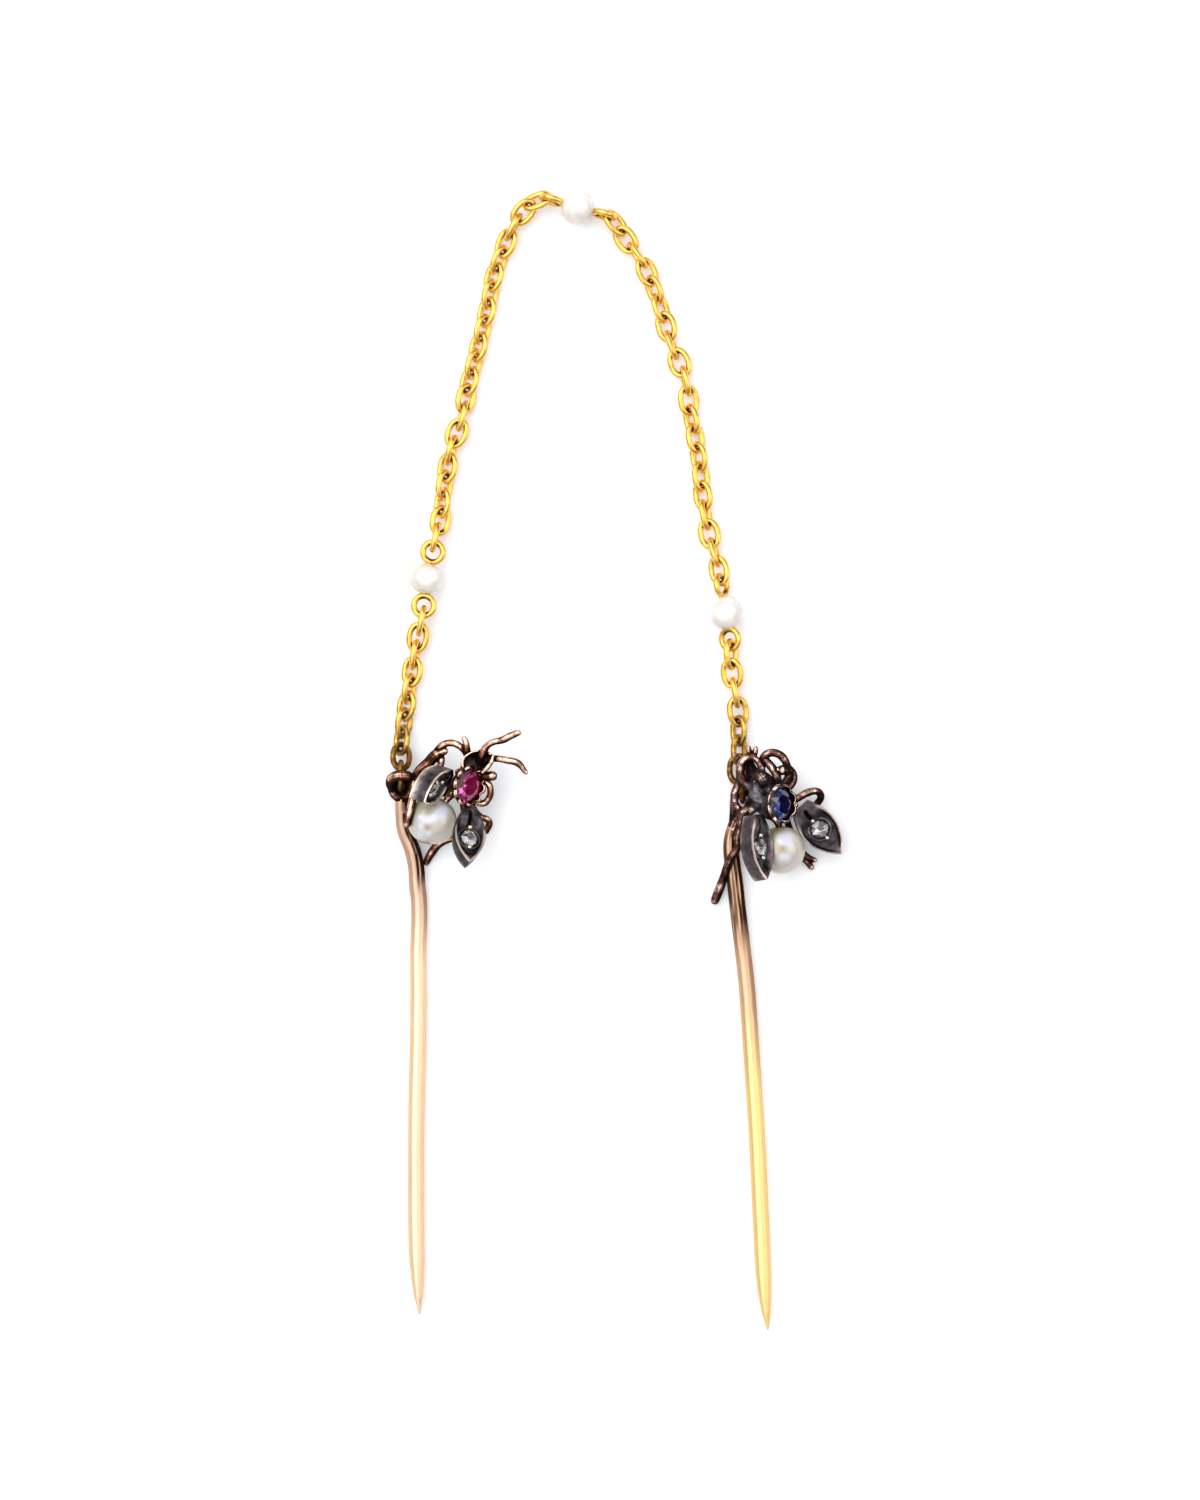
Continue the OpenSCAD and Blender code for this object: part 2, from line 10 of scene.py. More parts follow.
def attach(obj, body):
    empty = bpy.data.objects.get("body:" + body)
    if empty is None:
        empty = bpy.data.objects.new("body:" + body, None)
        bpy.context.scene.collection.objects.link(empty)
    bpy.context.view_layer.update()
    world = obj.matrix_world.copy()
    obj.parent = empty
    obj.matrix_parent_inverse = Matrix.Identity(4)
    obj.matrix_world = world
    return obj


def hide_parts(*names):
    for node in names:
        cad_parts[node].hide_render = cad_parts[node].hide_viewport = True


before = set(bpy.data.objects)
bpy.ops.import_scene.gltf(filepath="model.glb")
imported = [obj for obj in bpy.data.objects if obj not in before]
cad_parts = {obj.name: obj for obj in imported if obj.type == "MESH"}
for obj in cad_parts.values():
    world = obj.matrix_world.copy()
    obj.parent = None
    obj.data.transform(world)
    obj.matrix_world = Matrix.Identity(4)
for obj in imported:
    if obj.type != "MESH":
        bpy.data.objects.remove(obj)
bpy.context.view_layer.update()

MM = 0.001
scene = bpy.context.scene

# Camera: a copy stand over the table. It looks straight down on the piece, and the picture is
# 135 mm tall at the table's surface.
camera_height = 0.65
picture_height = 0.135
picture_middle = (-0.001215, 0.000945)
camera_data = bpy.data.cameras.new("copy_stand_camera")
camera_data.sensor_fit = "VERTICAL"
camera_data.sensor_height = 24
camera_data.lens = camera_data.sensor_height * camera_height / picture_height
camera_data.clip_start = 0.01
camera = bpy.data.objects.new("copy_stand_camera", camera_data)
camera.location = (*picture_middle, camera_height)
scene.collection.objects.link(camera)
scene.camera = camera

# Light: a large softbox at the upper left, a weak one at the lower left and a card on the right, in
# a room with a pale ceiling and dark walls, so that metal is bright on top and dark at its edges.
scene.view_settings.view_transform = "Standard"


def add(tree, kind, inputs, **settings):
    """Adds a node, with its settings and what its inputs are linked or set to."""
    node = tree.nodes.new(kind)
    for key, value in settings.items():
        setattr(node, key, value)
    for key, value in inputs.items():
        if isinstance(value, bpy.types.NodeSocket):
            tree.links.new(value, node.inputs[key])
        else:
            node.inputs[key].default_value = value
    return node


def ramped(tree, value, stops):
    """Colours a value. The stops give the colour at each value."""
    node = add(tree, "ShaderNodeValToRGB", {"Fac": value})
    elements = node.color_ramp.elements
    first, *between, last = stops.items()
    elements[0].position, elements[0].color = first
    elements[1].position, elements[1].color = last
    for position, colour in between:
        elements.new(position).color = colour
    return node


world = bpy.data.worlds.new("room")
world.use_nodes = True
tree = world.node_tree
way = add(tree, "ShaderNodeTexCoord", {})
height = add(tree, "ShaderNodeSeparateXYZ", {"Vector": way.outputs["Generated"]})
room = ramped(tree, height.outputs["Z"], {0.2: (0.03, 0.03, 0.032, 1), 1: (0.98, 0.99, 1.02, 1)})
tree.links.new(room.outputs["Color"], tree.nodes["Background"].inputs["Color"])
scene.world = world
softboxes = {
    "key_softbox": {"at": (-0.36, 0.36, 0.75), "size": 1.1, "watts": 9.0},
    "fill_softbox": {"at": (-0.5, -0.45, 0.5), "size": 0.4, "watts": 0.7},
    "side_card": {"at": (0.52, 0.05, 0.36), "size": 0.4, "watts": 1.1},
}
for name, box in softboxes.items():
    lamp = bpy.data.lights.new(name, "AREA")
    lamp.shape = "SQUARE"
    lamp.size = box["size"]
    lamp.energy = box["watts"]
    lamp_object = bpy.data.objects.new(name, lamp)
    lamp_object.location = box["at"]
    lamp_object.rotation_euler = (-Vector(box["at"])).to_track_quat("-Z", "Y").to_euler()
    scene.collection.objects.link(lamp_object)


def linear(code):
    """The linear colour of an sRGB hex value."""
    parts = [int(code[i : i + 2], 16) / 255 for i in (1, 3, 5)]
    return [c / 12.92 if c <= 0.04045 else ((c + 0.055) / 1.055) ** 2.4 for c in parts] + [1]


def start_material(name, **sockets):
    """A material, its tree and its shader, whose sockets are set to single values."""
    material = bpy.data.materials.new(name)
    material.use_nodes = True
    tree = material.node_tree
    shader = tree.nodes["Principled BSDF"]
    for key, value in sockets.items():
        shader.inputs[key.replace("_", " ")].default_value = value
    return material, tree, shader


def noise_texture(tree, vector, scale, detail):
    """Cloudy noise."""
    return add(tree, "ShaderNodeTexNoise", {"Vector": vector, "Scale": scale, "Detail": detail})


def attribute(tree, name):
    """A value that each vertex of the piece carries."""
    return add(tree, "ShaderNodeAttribute", {}, attribute_name=name)


def scaled(tree, value, factor, added):
    """The value times the factor, plus what is added."""
    return add(tree, "ShaderNodeMath", {0: value, 1: factor, 2: added}, operation="MULTIPLY_ADD")


def spread(tree, value, low, high):
    """Goes from 0 to 1 where the value goes from low to high."""
    return add(tree, "ShaderNodeMapRange", {"Value": value, "From Min": low, "From Max": high})


def between_values(tree, value, low, high):
    """Goes from low to high where the value goes from 0 to 1."""
    return add(tree, "ShaderNodeMapRange", {"Value": value, "To Min": low, "To Max": high})


def mixed(tree, share, first, second):
    """Mixes two colours, by the share of the second."""
    return add(tree, "ShaderNodeMix", {"Factor": share, "A": first, "B": second}, data_type="RGBA")


# Table: a plain matt sheet of pale paper, lit a little from below, so that the shadows are faint.
# The pieces lie 0.01 mm above it.
paper, _, _ = start_material(
    "matt_pale_sheet",
    Base_Color=linear("#dfdfe0"),
    Roughness=0.9,
    Emission_Color=linear("#fdfdff"),
    Emission_Strength=0.26,
)
paper_mesh = bmesh.new()
bmesh.ops.create_grid(paper_mesh, x_segments=1, y_segments=1, size=2)
floor_data = bpy.data.meshes.new("table")
paper_mesh.to_mesh(floor_data)
floor_data.materials.append(paper)
table = bpy.data.objects.new("table", floor_data)
table.location = (0, 0, -0.00001)
scene.collection.objects.link(table)


# Chain: oval links of drawn 14 carat yellow gold wire, cut, closed and soldered one through the
# next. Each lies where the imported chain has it, and none is quite like another. The lowest links
# of both sides, next to the insects, are tarnished to a brown olive.
wire_d = 0.55
link_length = 2.93
link_width = 2.1
end_roundness = 0.6
wire_spread = (0.97, 1.03)
width_spread = (0.975, 1.015)
length_spread = (0.995, 1.005)
skew_spread = (-0.03, 0.03)
dent_depth = 0.012
tarnish_from = 7.0
tarnish_to = -1.0

# Polished gold is a warm mirror that fine wear softens. Tarnish, soil and painted contact shade turn it dull
# and brown.
yellow_gold, tree, shader = start_material("polished_yellow_gold", Metallic=1)
place = add(tree, "ShaderNodeTexCoord", {}).outputs["Object"]
split = add(tree, "ShaderNodeSeparateXYZ", {"Vector": place})
low_down = spread(tree, split.outputs["Y"], tarnish_from * MM, tarnish_to * MM)
# Tarnish spots of about 0.6 mm and fine wear of about 0.15 mm
spots = noise_texture(tree, place, 1600, 3)
soil_and_contact_shade = attribute(tree, "soil_and_contact_shade")
bias = scaled(tree, low_down.outputs["Result"], 0.62, spots.outputs["Fac"])
# Soil and painted contact shade darken the inner ends of each link
bias = scaled(tree, soil_and_contact_shade.outputs["Fac"], 0.75, bias.outputs[0])
dull = spread(tree, bias.outputs[0], 0.52, 1.15)
colour = mixed(tree, dull.outputs["Result"], linear("#fccb64"), linear("#6b4420"))
rough = between_values(tree, dull.outputs["Result"], 0.32, 0.45)
wear = noise_texture(tree, place, 6500, 2)
dents = add(tree, "ShaderNodeBump", {"Height": wear.outputs["Fac"], "Strength": 0.12, "Distance": 0.00008})
tree.links.new(colour.outputs["Result"], shader.inputs["Base Color"])
tree.links.new(rough.outputs["Result"], shader.inputs["Roughness"])
tree.links.new(dents.outputs["Normal"], shader.inputs["Normal"])


def finish_piece(name, bm, materials, nodes, smooth=True):
    """Makes a finished piece from a bmesh in millimetres, in place of the named CAD nodes."""
    bmesh.ops.recalc_face_normals(bm, faces=bm.faces)
    bmesh.ops.scale(bm, vec=(MM, MM, MM), verts=bm.verts)
    mesh = bpy.data.meshes.new(name)
    bm.to_mesh(mesh)
    bm.free()
    for material in materials:
        mesh.materials.append(material)
    if smooth:
        mesh.polygons.foreach_set("use_smooth", [True] * len(mesh.polygons))
    piece = bpy.data.objects.new(name, mesh)
    scene.collection.objects.link(piece)
    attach(piece, "root")
    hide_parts(*nodes)


def ease(value, start, end):
    """Runs smoothly from 0 to 1 while the value goes from start to end."""
    share = min(max((value - start) / (end - start), 0), 1)
    return share * share * (3 - 2 * share)


def ring(bm, radius, wire, stretch, turns=32, sides=12):
    """A closed ring of round wire in the XY plane, stretched along X. Returns its vertices.

    Soil and painted contact shade lie on the inner side of both ends, where the neighbours rub and touch.
    """
    known = len(bm.verts)
    section = bmesh.ops.create_circle(bm, segments=sides, radius=wire / 2)["verts"]
    bmesh.ops.rotate(bm, verts=section, matrix=Matrix.Rotation(pi / 2, 3, "X"))
    bmesh.ops.translate(bm, verts=section, vec=(radius, 0, 0))
    bmesh.ops.rotate(bm, verts=section, matrix=Matrix.Rotation(pi / turns, 3, "Z"))
    edges = list(dict.fromkeys(e for v in section for e in v.link_edges))
    bmesh.ops.spin(
        bm, geom=section + edges, angle=2 * pi, steps=turns, axis=(0, 0, 1), cent=(0, 0, 0), use_merge=True
    )
    bm.verts.ensure_lookup_table()
    soil_and_contact_shade = bm.verts.layers.float.get("soil_and_contact_shade") or bm.verts.layers.float.new("soil_and_contact_shade")
    verts = [v for v in bm.verts[known:] if v.is_valid]
    for vert in verts:
        reach = vert.co.x / vert.co.xy.length
        inward = (radius - vert.co.xy.length) / wire
        # Soil and painted contact shade: darker on the inner side of both ends
        vert[soil_and_contact_shade] = ease(abs(reach), 0.45, 0.95) * ease(inward, -0.15, 0.4)
        vert.co.x += copysign(abs(reach) ** end_roundness, reach) * stretch / 2
    return verts


def loose_parts(node):
    """The corner points of each loose solid of a CAD node, in millimetres."""
    bm = bmesh.new()
    bm.from_mesh(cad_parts[node].data)
    bmesh.ops.remove_doubles(bm, verts=bm.verts, dist=1e-7)
    seen, parts = set(), []
    for start in bm.verts:
        if start in seen:
            continue
        seen.add(start)
        heap, part = [start], []
        while heap:
            vert = heap.pop()
            part.append(vert.co / MM)
            for edge in vert.link_edges:
                other = edge.other_vert(vert)
                if other not in seen:
                    seen.add(other)
                    heap.append(other)
        parts.append(np.array(part))
    bm.free()
    return parts


def lie_of(points):
    """The matrix that lays a link, modelled along X and flat in XY, where the points have it."""
    middle = points.mean(axis=0)
    _, _, axes = np.linalg.svd(points - middle, full_matrices=False)
    reach = (points - middle) @ axes.T
    middle = middle + axes.T @ ((reach.max(axis=0) + reach.min(axis=0)) / 2)
    x, y = Vector(axes[0]), Vector(axes[1])
    if x.y < 0:
        x.negate()
    z = x.cross(y)
    if z.z < 0:
        y.negate()
        z.negate()
    turn = Matrix((x, y, z)).transposed().to_4x4()
    return Matrix.Translation(Vector(middle)) @ turn


hand = random.Random(11)
# Vector noise is seeded with the time of day unless it is given a seed
noise.seed_set(11)
for node in ("chain_left", "chain_right"):
    bm = bmesh.new()
    for points in loose_parts(node):
        wire = wire_d * hand.uniform(*wire_spread)
        width = link_width * hand.uniform(*width_spread)
        length = link_length * hand.uniform(*length_spread)
        verts = ring(bm, (width - wire) / 2, wire, length - width)
        skew = hand.uniform(*skew_spread)
        for vert in verts:
            vert.co.y += skew * vert.co.x
            vert.co += dent_depth * noise.noise_vector(vert.co * 1.7 + Vector((hand.random(), 0, 0)))
        bmesh.ops.transform(bm, verts=verts, matrix=lie_of(points))
    finish_piece(node + "_links", bm, [yellow_gold], [node])


# Pearl wires: each chain pearl is strung on a gold wire that is turned into an eye at each end.
# The eyes are rolled about the wire as the chain lies.
eye_d = 2.36
eye_reach = 2.44
eye_wire_d = wire_d * 1.03
chain_pearls = {
    "left": {"at": (-16.62, 16.3, 1.56), "run": (0.17, 1, 0), "rolls": (0, 0)},
    "top": {"at": (-3.2, 49.65, 1.56), "run": (1, -0.28, 0), "rolls": (100, 100)},
    "right": {"at": (10.08, 13.3, 1.56), "run": (-0.16, 1, 0), "rolls": (35, -60)},
}


def placed(at, along, toward):
    """The matrix that sets X along a direction and Z near another, at a point."""
    x = Vector(along).normalized()
    toward = Vector(toward)
    z = (toward - toward.dot(x) * x).normalized()
    y = z.cross(x)
    return Matrix.Translation(Vector(at)) @ Matrix((x, y, z)).transposed().to_4x4()


def facing(at, axis):
    """The matrix that sets Z along an axis, at a point."""
    return Matrix.Translation(Vector(at)) @ Vector(axis).to_track_quat("Z", "Y").to_matrix().to_4x4()


for name, pearl in chain_pearls.items():
    bm = bmesh.new()
    eye_r = (eye_d - wire_d) / 2
    for side, roll in zip((-1, 1), pearl["rolls"]):
        verts = ring(bm, eye_r, eye_wire_d, 0)
        turn = Matrix.Rotation(radians(-roll), 4, "X")
        bmesh.ops.transform(bm, verts=verts, matrix=Matrix.Translation((side * eye_reach, 0, 0)) @ turn)
    stub = bmesh.ops.create_cone(
        bm, cap_ends=True, segments=12, radius1=wire_d / 2, radius2=wire_d / 2, depth=2 * (eye_reach - eye_r)
    )["verts"]
    bmesh.ops.rotate(bm, verts=stub, matrix=Matrix.Rotation(pi / 2, 3, "Y"))
    bmesh.ops.transform(bm, verts=bm.verts, matrix=placed(pearl["at"], pearl["run"], (0, 0, 1)))
    finish_piece("pearl_wire_%s_eyes" % name, bm, [yellow_gold], ["pearl_wire_" + name])


# Chain pearls: three small cultured pearls, drilled through. The left one is short along its
# wire, and all three are slightly out of round. Nacre gives a soft light from under the surface
# and a broad, glossy reflection on top.
pearl_d = 3.1
pearl_shapes = {"left": (0.89, 1.01, 1.0), "top": (0.985, 1.0, 1.0), "right": (0.985, 1.0, 1.0)}
pearl_bulge = {"left": 0.22, "top": 0.0, "right": 0.0}
pearl_unevenness = 0.012

white_nacre, tree, shader = start_material(
    "white_nacre",
    Roughness=0.22,
    IOR=1.55,
    Subsurface_Weight=0.35,
    Subsurface_Radius=(1.0, 0.85, 0.7),
    Subsurface_Scale=0.0012,
    Coat_Weight=0.5,
    Coat_Roughness=0.08,
)
place = add(tree, "ShaderNodeTexCoord", {}).outputs["Object"]
# Cloudy patches of the nacre, about 1.5 mm across
clouds = noise_texture(tree, place, 650, 2)
patch = spread(tree, clouds.outputs["Fac"], 0.35, 0.7)
colour = mixed(tree, patch.outputs["Result"], linear("#eeebe8"), linear("#d5ccbd"))
tree.links.new(colour.outputs["Result"], shader.inputs["Base Color"])

for name, pearl in chain_pearls.items():
    bm = bmesh.new()
    bmesh.ops.create_uvsphere(bm, u_segments=56, v_segments=36, radius=pearl_d / 2)
    bmesh.ops.rotate(bm, verts=bm.verts, matrix=Matrix.Rotation(pi / 2, 3, "Y"))
    bmesh.ops.scale(bm, verts=bm.verts, vec=pearl_shapes[name])
    bmesh.ops.translate(bm, verts=bm.verts, vec=(0, pearl_bulge[name], 0))
    for vert in bm.verts:
        vert.co *= 1 + pearl_unevenness * noise.noise(vert.co * 0.9 + Vector(pearl["at"]))
    bmesh.ops.transform(bm, verts=bm.verts, matrix=placed(pearl["at"], pearl["run"], (0, 0, 1)))
    finish_piece("chain_pearl_%s_nacre" % name, bm, [white_nacre], ["chain_pearl_" + name])


# Left pin's metal: reddish 9 to 12 carat gold, soldered up as one piece from drawn and hammered
# wire, a beaten body, a cup for a head and a collet. Each row is x, y, z and radius, in mm.
# The worn tops shine and the hollows keep a brown black patina. What faces away from the key light is
# darker, as painted shade.
left_stem_rows = [
    (-17.45, -49.78, 0.72, 0.07), (-17.47, -49.3, 0.72, 0.18), (-17.53, -48.2, 0.73, 0.39),
    (-17.6, -46.8, 0.73, 0.55), (-17.67, -45, 0.73, 0.67), (-17.72, -43, 0.73, 0.71),
    (-17.76, -38, 0.73, 0.72), (-17.73, -32, 0.73, 0.72), (-17.62, -27, 0.73, 0.72),
    (-17.57, -24.5, 0.73, 0.72), (-17.54, -20.8, 0.73, 0.72), (-17.56, -17.2, 0.73, 0.72),
    (-17.46, -13.9, 0.73, 0.72), (-17.5, -12.5, 0.73, 0.72), (-17.65, -11.2, 0.75, 0.73),
    (-17.72, -9.8, 0.8, 0.73), (-17.99, -8.3, 0.9, 0.72), (-18.8, -6.2, 1.1, 0.66),
    (-19.02, -4.6, 1.4, 0.58), (-19.08, -3.7, 1.65, 0.5), (-19.06, -3.3, 1.7, 0.4),
]
left_body_rows = [
    (-15.45, -4.25, 3.07, 0.26), (-14.95, -3.53, 3.1, 0.26), (-14.6, -3, 2.95, 0.45),
    (-13.95, -2.3, 2.55, 0.8), (-13.2, -1.2, 2.8, 0.75), (-12.7, -0.3, 3.1, 0.7), (-12.1, -0.3, 3.2, 0.8),
]
left_wires = {
    "stem_eye": [
        (-19.08, -3.4, 1.7, 0.42), (-19.62, -3.05, 1.85, 0.4), (-19.84, -2.35, 1.95, 0.42),
        (-19.62, -1.75, 2.02, 0.5), (-19.06, -1.54, 2.05, 0.54), (-18.45, -1.72, 2.05, 0.5),
        (-18.18, -2.35, 2, 0.42), (-18.4, -3.05, 1.85, 0.4), (-18.95, -3.4, 1.7, 0.42),
    ],
    "stem_curl": [
        (-19.85, -2.55, 1.95, 0.38), (-20.0, -1.95, 2.7, 0.4), (-19.7, -1.5, 3.42, 0.43),
        (-19.05, -1.32, 3.8, 0.46), (-18.4, -1.45, 3.42, 0.44), (-18.05, -1.8, 2.75, 0.4),
        (-17.9, -2.1, 2.2, 0.38),
    ],
    "stem_end": [(-19.06, -3.5, 0.55, 0.5), (-19.02, -2.6, 0.46, 0.45), (-18.98, -1.7, 0.45, 0.4)],
    "stem_web": [(-18.55, -3.1, 1.75, 0.42), (-18.5, -4.2, 1.5, 0.38), (-18.6, -5.6, 1.05, 0.2)],
    "strap": [
        (-18.3, -1.75, 2.05, 0.32), (-17.2, -2.1, 2.15, 0.45), (-16, -2.5, 2.2, 0.48),
        (-15, -2.7, 2.5, 0.55), (-14, -2.8, 2.8, 0.5),
    ],
    "long_feeler": [
        (-12.0, -0.1, 3.8, 0.36), (-11.75, 0.5, 4.3, 0.34), (-11.3, 1.3, 4.6, 0.28),
        (-10.8, 1.62, 4.9, 0.27), (-9.9, 1.85, 5.1, 0.29), (-9.2, 2.2, 5.3, 0.3), (-8.5, 2.5, 5.4, 0.27),
    ],
    "short_feeler": [
        (-11.6, 0, 3.9, 0.3), (-10.85, 0.18, 4.1, 0.27), (-9.45, 0, 4.4, 0.27),
        (-8.55, -0.25, 4.4, 0.3), (-7.85, -1.05, 4.2, 0.2),
    ],
    "arched_leg": [
        (-12.9, -0.1, 3.3, 0.3), (-13.15, 0.6, 3.3, 0.29), (-13.55, 1.1, 3.3, 0.28),
        (-14.5, 1.58, 3, 0.29), (-15.3, 1.4, 2.7, 0.29), (-15.85, 0.85, 2.3, 0.3),
    ],
    "long_leg": [
        (-15.15, 0.85, 2.6, 0.3), (-15.8, 0.6, 2.4, 0.48), (-16.75, -0.35, 2.3, 0.5),
        (-17.5, -1, 2.6, 0.38), (-17.85, -2, 3.3, 0.36), (-18, -3.5, 4.1, 0.34),
        (-18.22, -4.6, 4.5, 0.34), (-18.45, -5.65, 4.35, 0.34),
    ],
    "long_leg_spur": [(-15.6, 0.7, 2.3, 0.32), (-15.45, 0.0, 2.4, 0.3), (-15.6, -0.7, 2.5, 0.26)],
    "neck_spur": [(-13, 0, 3.4, 0.3), (-13.15, 1.3, 3.8, 0.27), (-13.35, 2, 3.9, 0.2)],
    "head_rim": [
        (-10.75, 0.4, 4.4, 0.15), (-10.95, -0.15, 4.5, 0.18), (-11.3, -0.65, 4.45, 0.18),
        (-11.7, -1.02, 4.3, 0.15),
    ],
    "eye": [(-11.9, -1.3, 3.4, 0.33), (-11.3, -1.4, 3.6, 0.38), (-10.85, -1.38, 3.8, 0.42)],
    "hind_loop": [
        (-13.1, -1.4, 2.6, 0.3), (-12, -1.6, 2.6, 0.28), (-11.25, -2.05, 2.65, 0.28),
        (-11.02, -2.75, 2.65, 0.28), (-11.2, -3.4, 2.6, 0.28), (-11.75, -3.85, 2.5, 0.28),
        (-12.4, -3.6, 2.4, 0.28), (-13.3, -2.9, 2.5, 0.3),
    ],
    "short_foot": [
        (-13.4, -2.9, 2.4, 0.3), (-12.6, -4.2, 1.8, 0.26), (-12, -5, 1.5, 0.26),
        (-11.2, -5.45, 1, 0.27), (-11.45, -6.35, 0.28, 0.26),
    ],
    "hind_leg": [
        (-13.7, -2.9, 2.4, 0.32), (-13.4, -5, 1.9, 0.32), (-14.1, -6.75, 1.6, 0.33),
        (-14.95, -7.1, 1.4, 0.35), (-15.75, -7.55, 1.05, 0.34), (-16.3, -8.2, 0.7, 0.36),
        (-16.85, -9.15, 0.34, 0.3),
    ],
    "upper_wing_tang": [(-13.6, -1.8, 3.1, 0.4), (-13.9, -1, 4, 0.3)],
    "lower_wing_tang": [(-13.5, -2.6, 2.8, 0.4), (-12.95, -3.75, 2.85, 0.3)],
}
ruby_at = (-13.03, -2.26, 4.3)
ruby_axis = (0.64, -0.14, 0.756)
stone_d = 3.0
rim_r = stone_d / 2 + 0.06
collet_drop = 1.25
head_at = (-12.2, -0.06, 3.95)
head_turn = 14
head_stretch = (1.36, 0.9)
head_profile = [
    (0.0, -1.0), (0.55, -0.9), (0.9, -0.45), (1.1, 0.25),
    (1.08, 0.42), (0.92, 0.38), (0.78, -0.35), (0.0, -0.75),
]
# Grey crusts on the body, and dark spots of painted shade in the eye, in the cup and between stem and leg,
# each with x, y, z, its reach and how grey it is
left_crusts_and_shade_spots = [
    (-13.5, -1.1, 3.2, 0.9, 0.7), (-19.0, -2.4, 0.5, 0.9, 0),
    (-12.2, -0.1, 3.3, 1.1, 0), (-18.4, -4.3, 1.5, 0.8, 0),
]


def aged_gold(name, bright, worn, patina, clean_share):
    """Reddish gold, bright where rubbed, with patina in the hollows, and painted shade down the sides that
    face away from the key light.
    """
    material, tree, shader = start_material(name, Specular_Tint=linear("#b08068"))
    place = add(tree, "ShaderNodeTexCoord", {}).outputs["Object"]
    # The patina of the hollows, and painted shade on what faces away from the key light
    depth = attribute(tree, "hollow_and_shade")
    crust = attribute(tree, "oxide")
    # Blotches of about 1.1 mm and scratches of about 0.1 mm
    blotch = noise_texture(tree, place, 900, 4)
    fine = noise_texture(tree, place, 9000, 3)
    age = scaled(tree, blotch.outputs["Fac"], 0.6, depth.outputs["Fac"])
    age = scaled(tree, fine.outputs["Fac"], 0.25, age.outputs[0])
    aged = spread(tree, age.outputs[0], clean_share, clean_share + 0.4)
    shades = {0: linear(bright), 0.4: linear(worn), 0.85: linear(patina)}
    ramp = ramped(tree, aged.outputs["Result"], shades)
    rough = between_values(tree, aged.outputs["Result"], 0.2, 0.5)
    metal = between_values(tree, aged.outputs["Result"], 1.0, 0.75)
    height = fine.outputs["Fac"]
    bump = add(tree, "ShaderNodeBump", {"Height": height, "Strength": 0.25, "Distance": 0.00008})
    # The oxide crust is black in some blotches and grey in others
    grey = blotch.outputs["Fac"]
    grey = spread(tree, grey, 0.4, 0.6)
    soot = mixed(tree, grey.outputs["Result"], linear("#1e1b1d"), linear("#8e8b94"))
    colour = mixed(tree, crust.outputs["Fac"], ramp.outputs["Color"], soot.outputs["Result"])
    tree.links.new(colour.outputs["Result"], shader.inputs["Base Color"])
    tree.links.new(rough.outputs["Result"], shader.inputs["Roughness"])
    tree.links.new(metal.outputs["Result"], shader.inputs["Metallic"])
    tree.links.new(bump.outputs["Normal"], shader.inputs["Normal"])
    return material


def evaluated(holder):
    """The mesh of an object as its bevel or modifiers make it. The object itself is deleted."""
    scene.collection.objects.link(holder)
    mesh = bpy.data.meshes.new_from_object(holder.evaluated_get(bpy.context.evaluated_depsgraph_get()))
    bpy.data.objects.remove(holder)
    return mesh


def swept_wire(rows, smoothness=5):
    """A mesh of round wire through the rows, with its varying thickness and closed ends."""
    curve = bpy.data.curves.new("wire", "CURVE")
    curve.dimensions = "3D"
    curve.bevel_depth = 1
    curve.bevel_resolution = 4
    curve.use_fill_caps = True
    curve.resolution_u = smoothness
    spline = curve.splines.new("BEZIER")
    spline.bezier_points.add(len(rows) - 1)
    for point, (x, y, z, r) in zip(spline.bezier_points, rows):
        point.co = (x, y, z)
        point.radius = r
        point.handle_left_type = point.handle_right_type = "AUTO"
    return evaluated(bpy.data.objects.new("wire", curve))


def swollen(rows, solder):
    """The rows with the solder that has flowed over the wire added to its radius."""
    return [(x, y, z, r + solder) for x, y, z, r in rows]


def add_mesh(bm, mesh):
    """Adds a mesh to a bmesh and deletes it."""
    bm.from_mesh(mesh)
    bpy.data.meshes.remove(mesh)


def soften_ends(bm, rows):
    """A ball at each end of a wire, as cut and melted ends have."""
    for x, y, z, r in (rows[0], rows[-1]):
        bmesh.ops.create_icosphere(bm, subdivisions=2, radius=r, matrix=Matrix.Translation((x, y, z)))


def soldered_wires(wires, solder, stem_rows, stem_solder):
    """The body and wires of an insect and the top of its stem, under the solder that covers them."""
    bm = bmesh.new()
    for rows in wires:
        rows = swollen(rows, solder)
        add_mesh(bm, swept_wire(rows))
        soften_ends(bm, rows)
    add_mesh(bm, swept_wire(swollen(stem_rows, stem_solder)))
    return bm


def join(bm, part, matrix):
    """Adds a finished part, with its own materials, to a mesh at a place."""
    bmesh.ops.transform(part, verts=part.verts, matrix=matrix)
    mesh = bpy.data.meshes.new("part")
    part.to_mesh(mesh)
    part.free()
    add_mesh(bm, mesh)


def turned(profile, steps, closed=False):
    """A part turned on the lathe: a profile of radius and height, spun about Z."""
    part = bmesh.new()
    verts = [part.verts.new((x, 0, z)) for x, z in profile]
    edges = [part.edges.new(pair) for pair in zip(verts, verts[1:])]
    if closed:
        edges.append(part.edges.new((verts[-1], verts[0])))
    bmesh.ops.spin(
        part, geom=verts + edges, angle=2 * pi, steps=steps, axis=(0, 0, 1), cent=(0, 0, 0), use_merge=True
    )
    bmesh.ops.remove_doubles(part, verts=part.verts, dist=0.001)
    return part


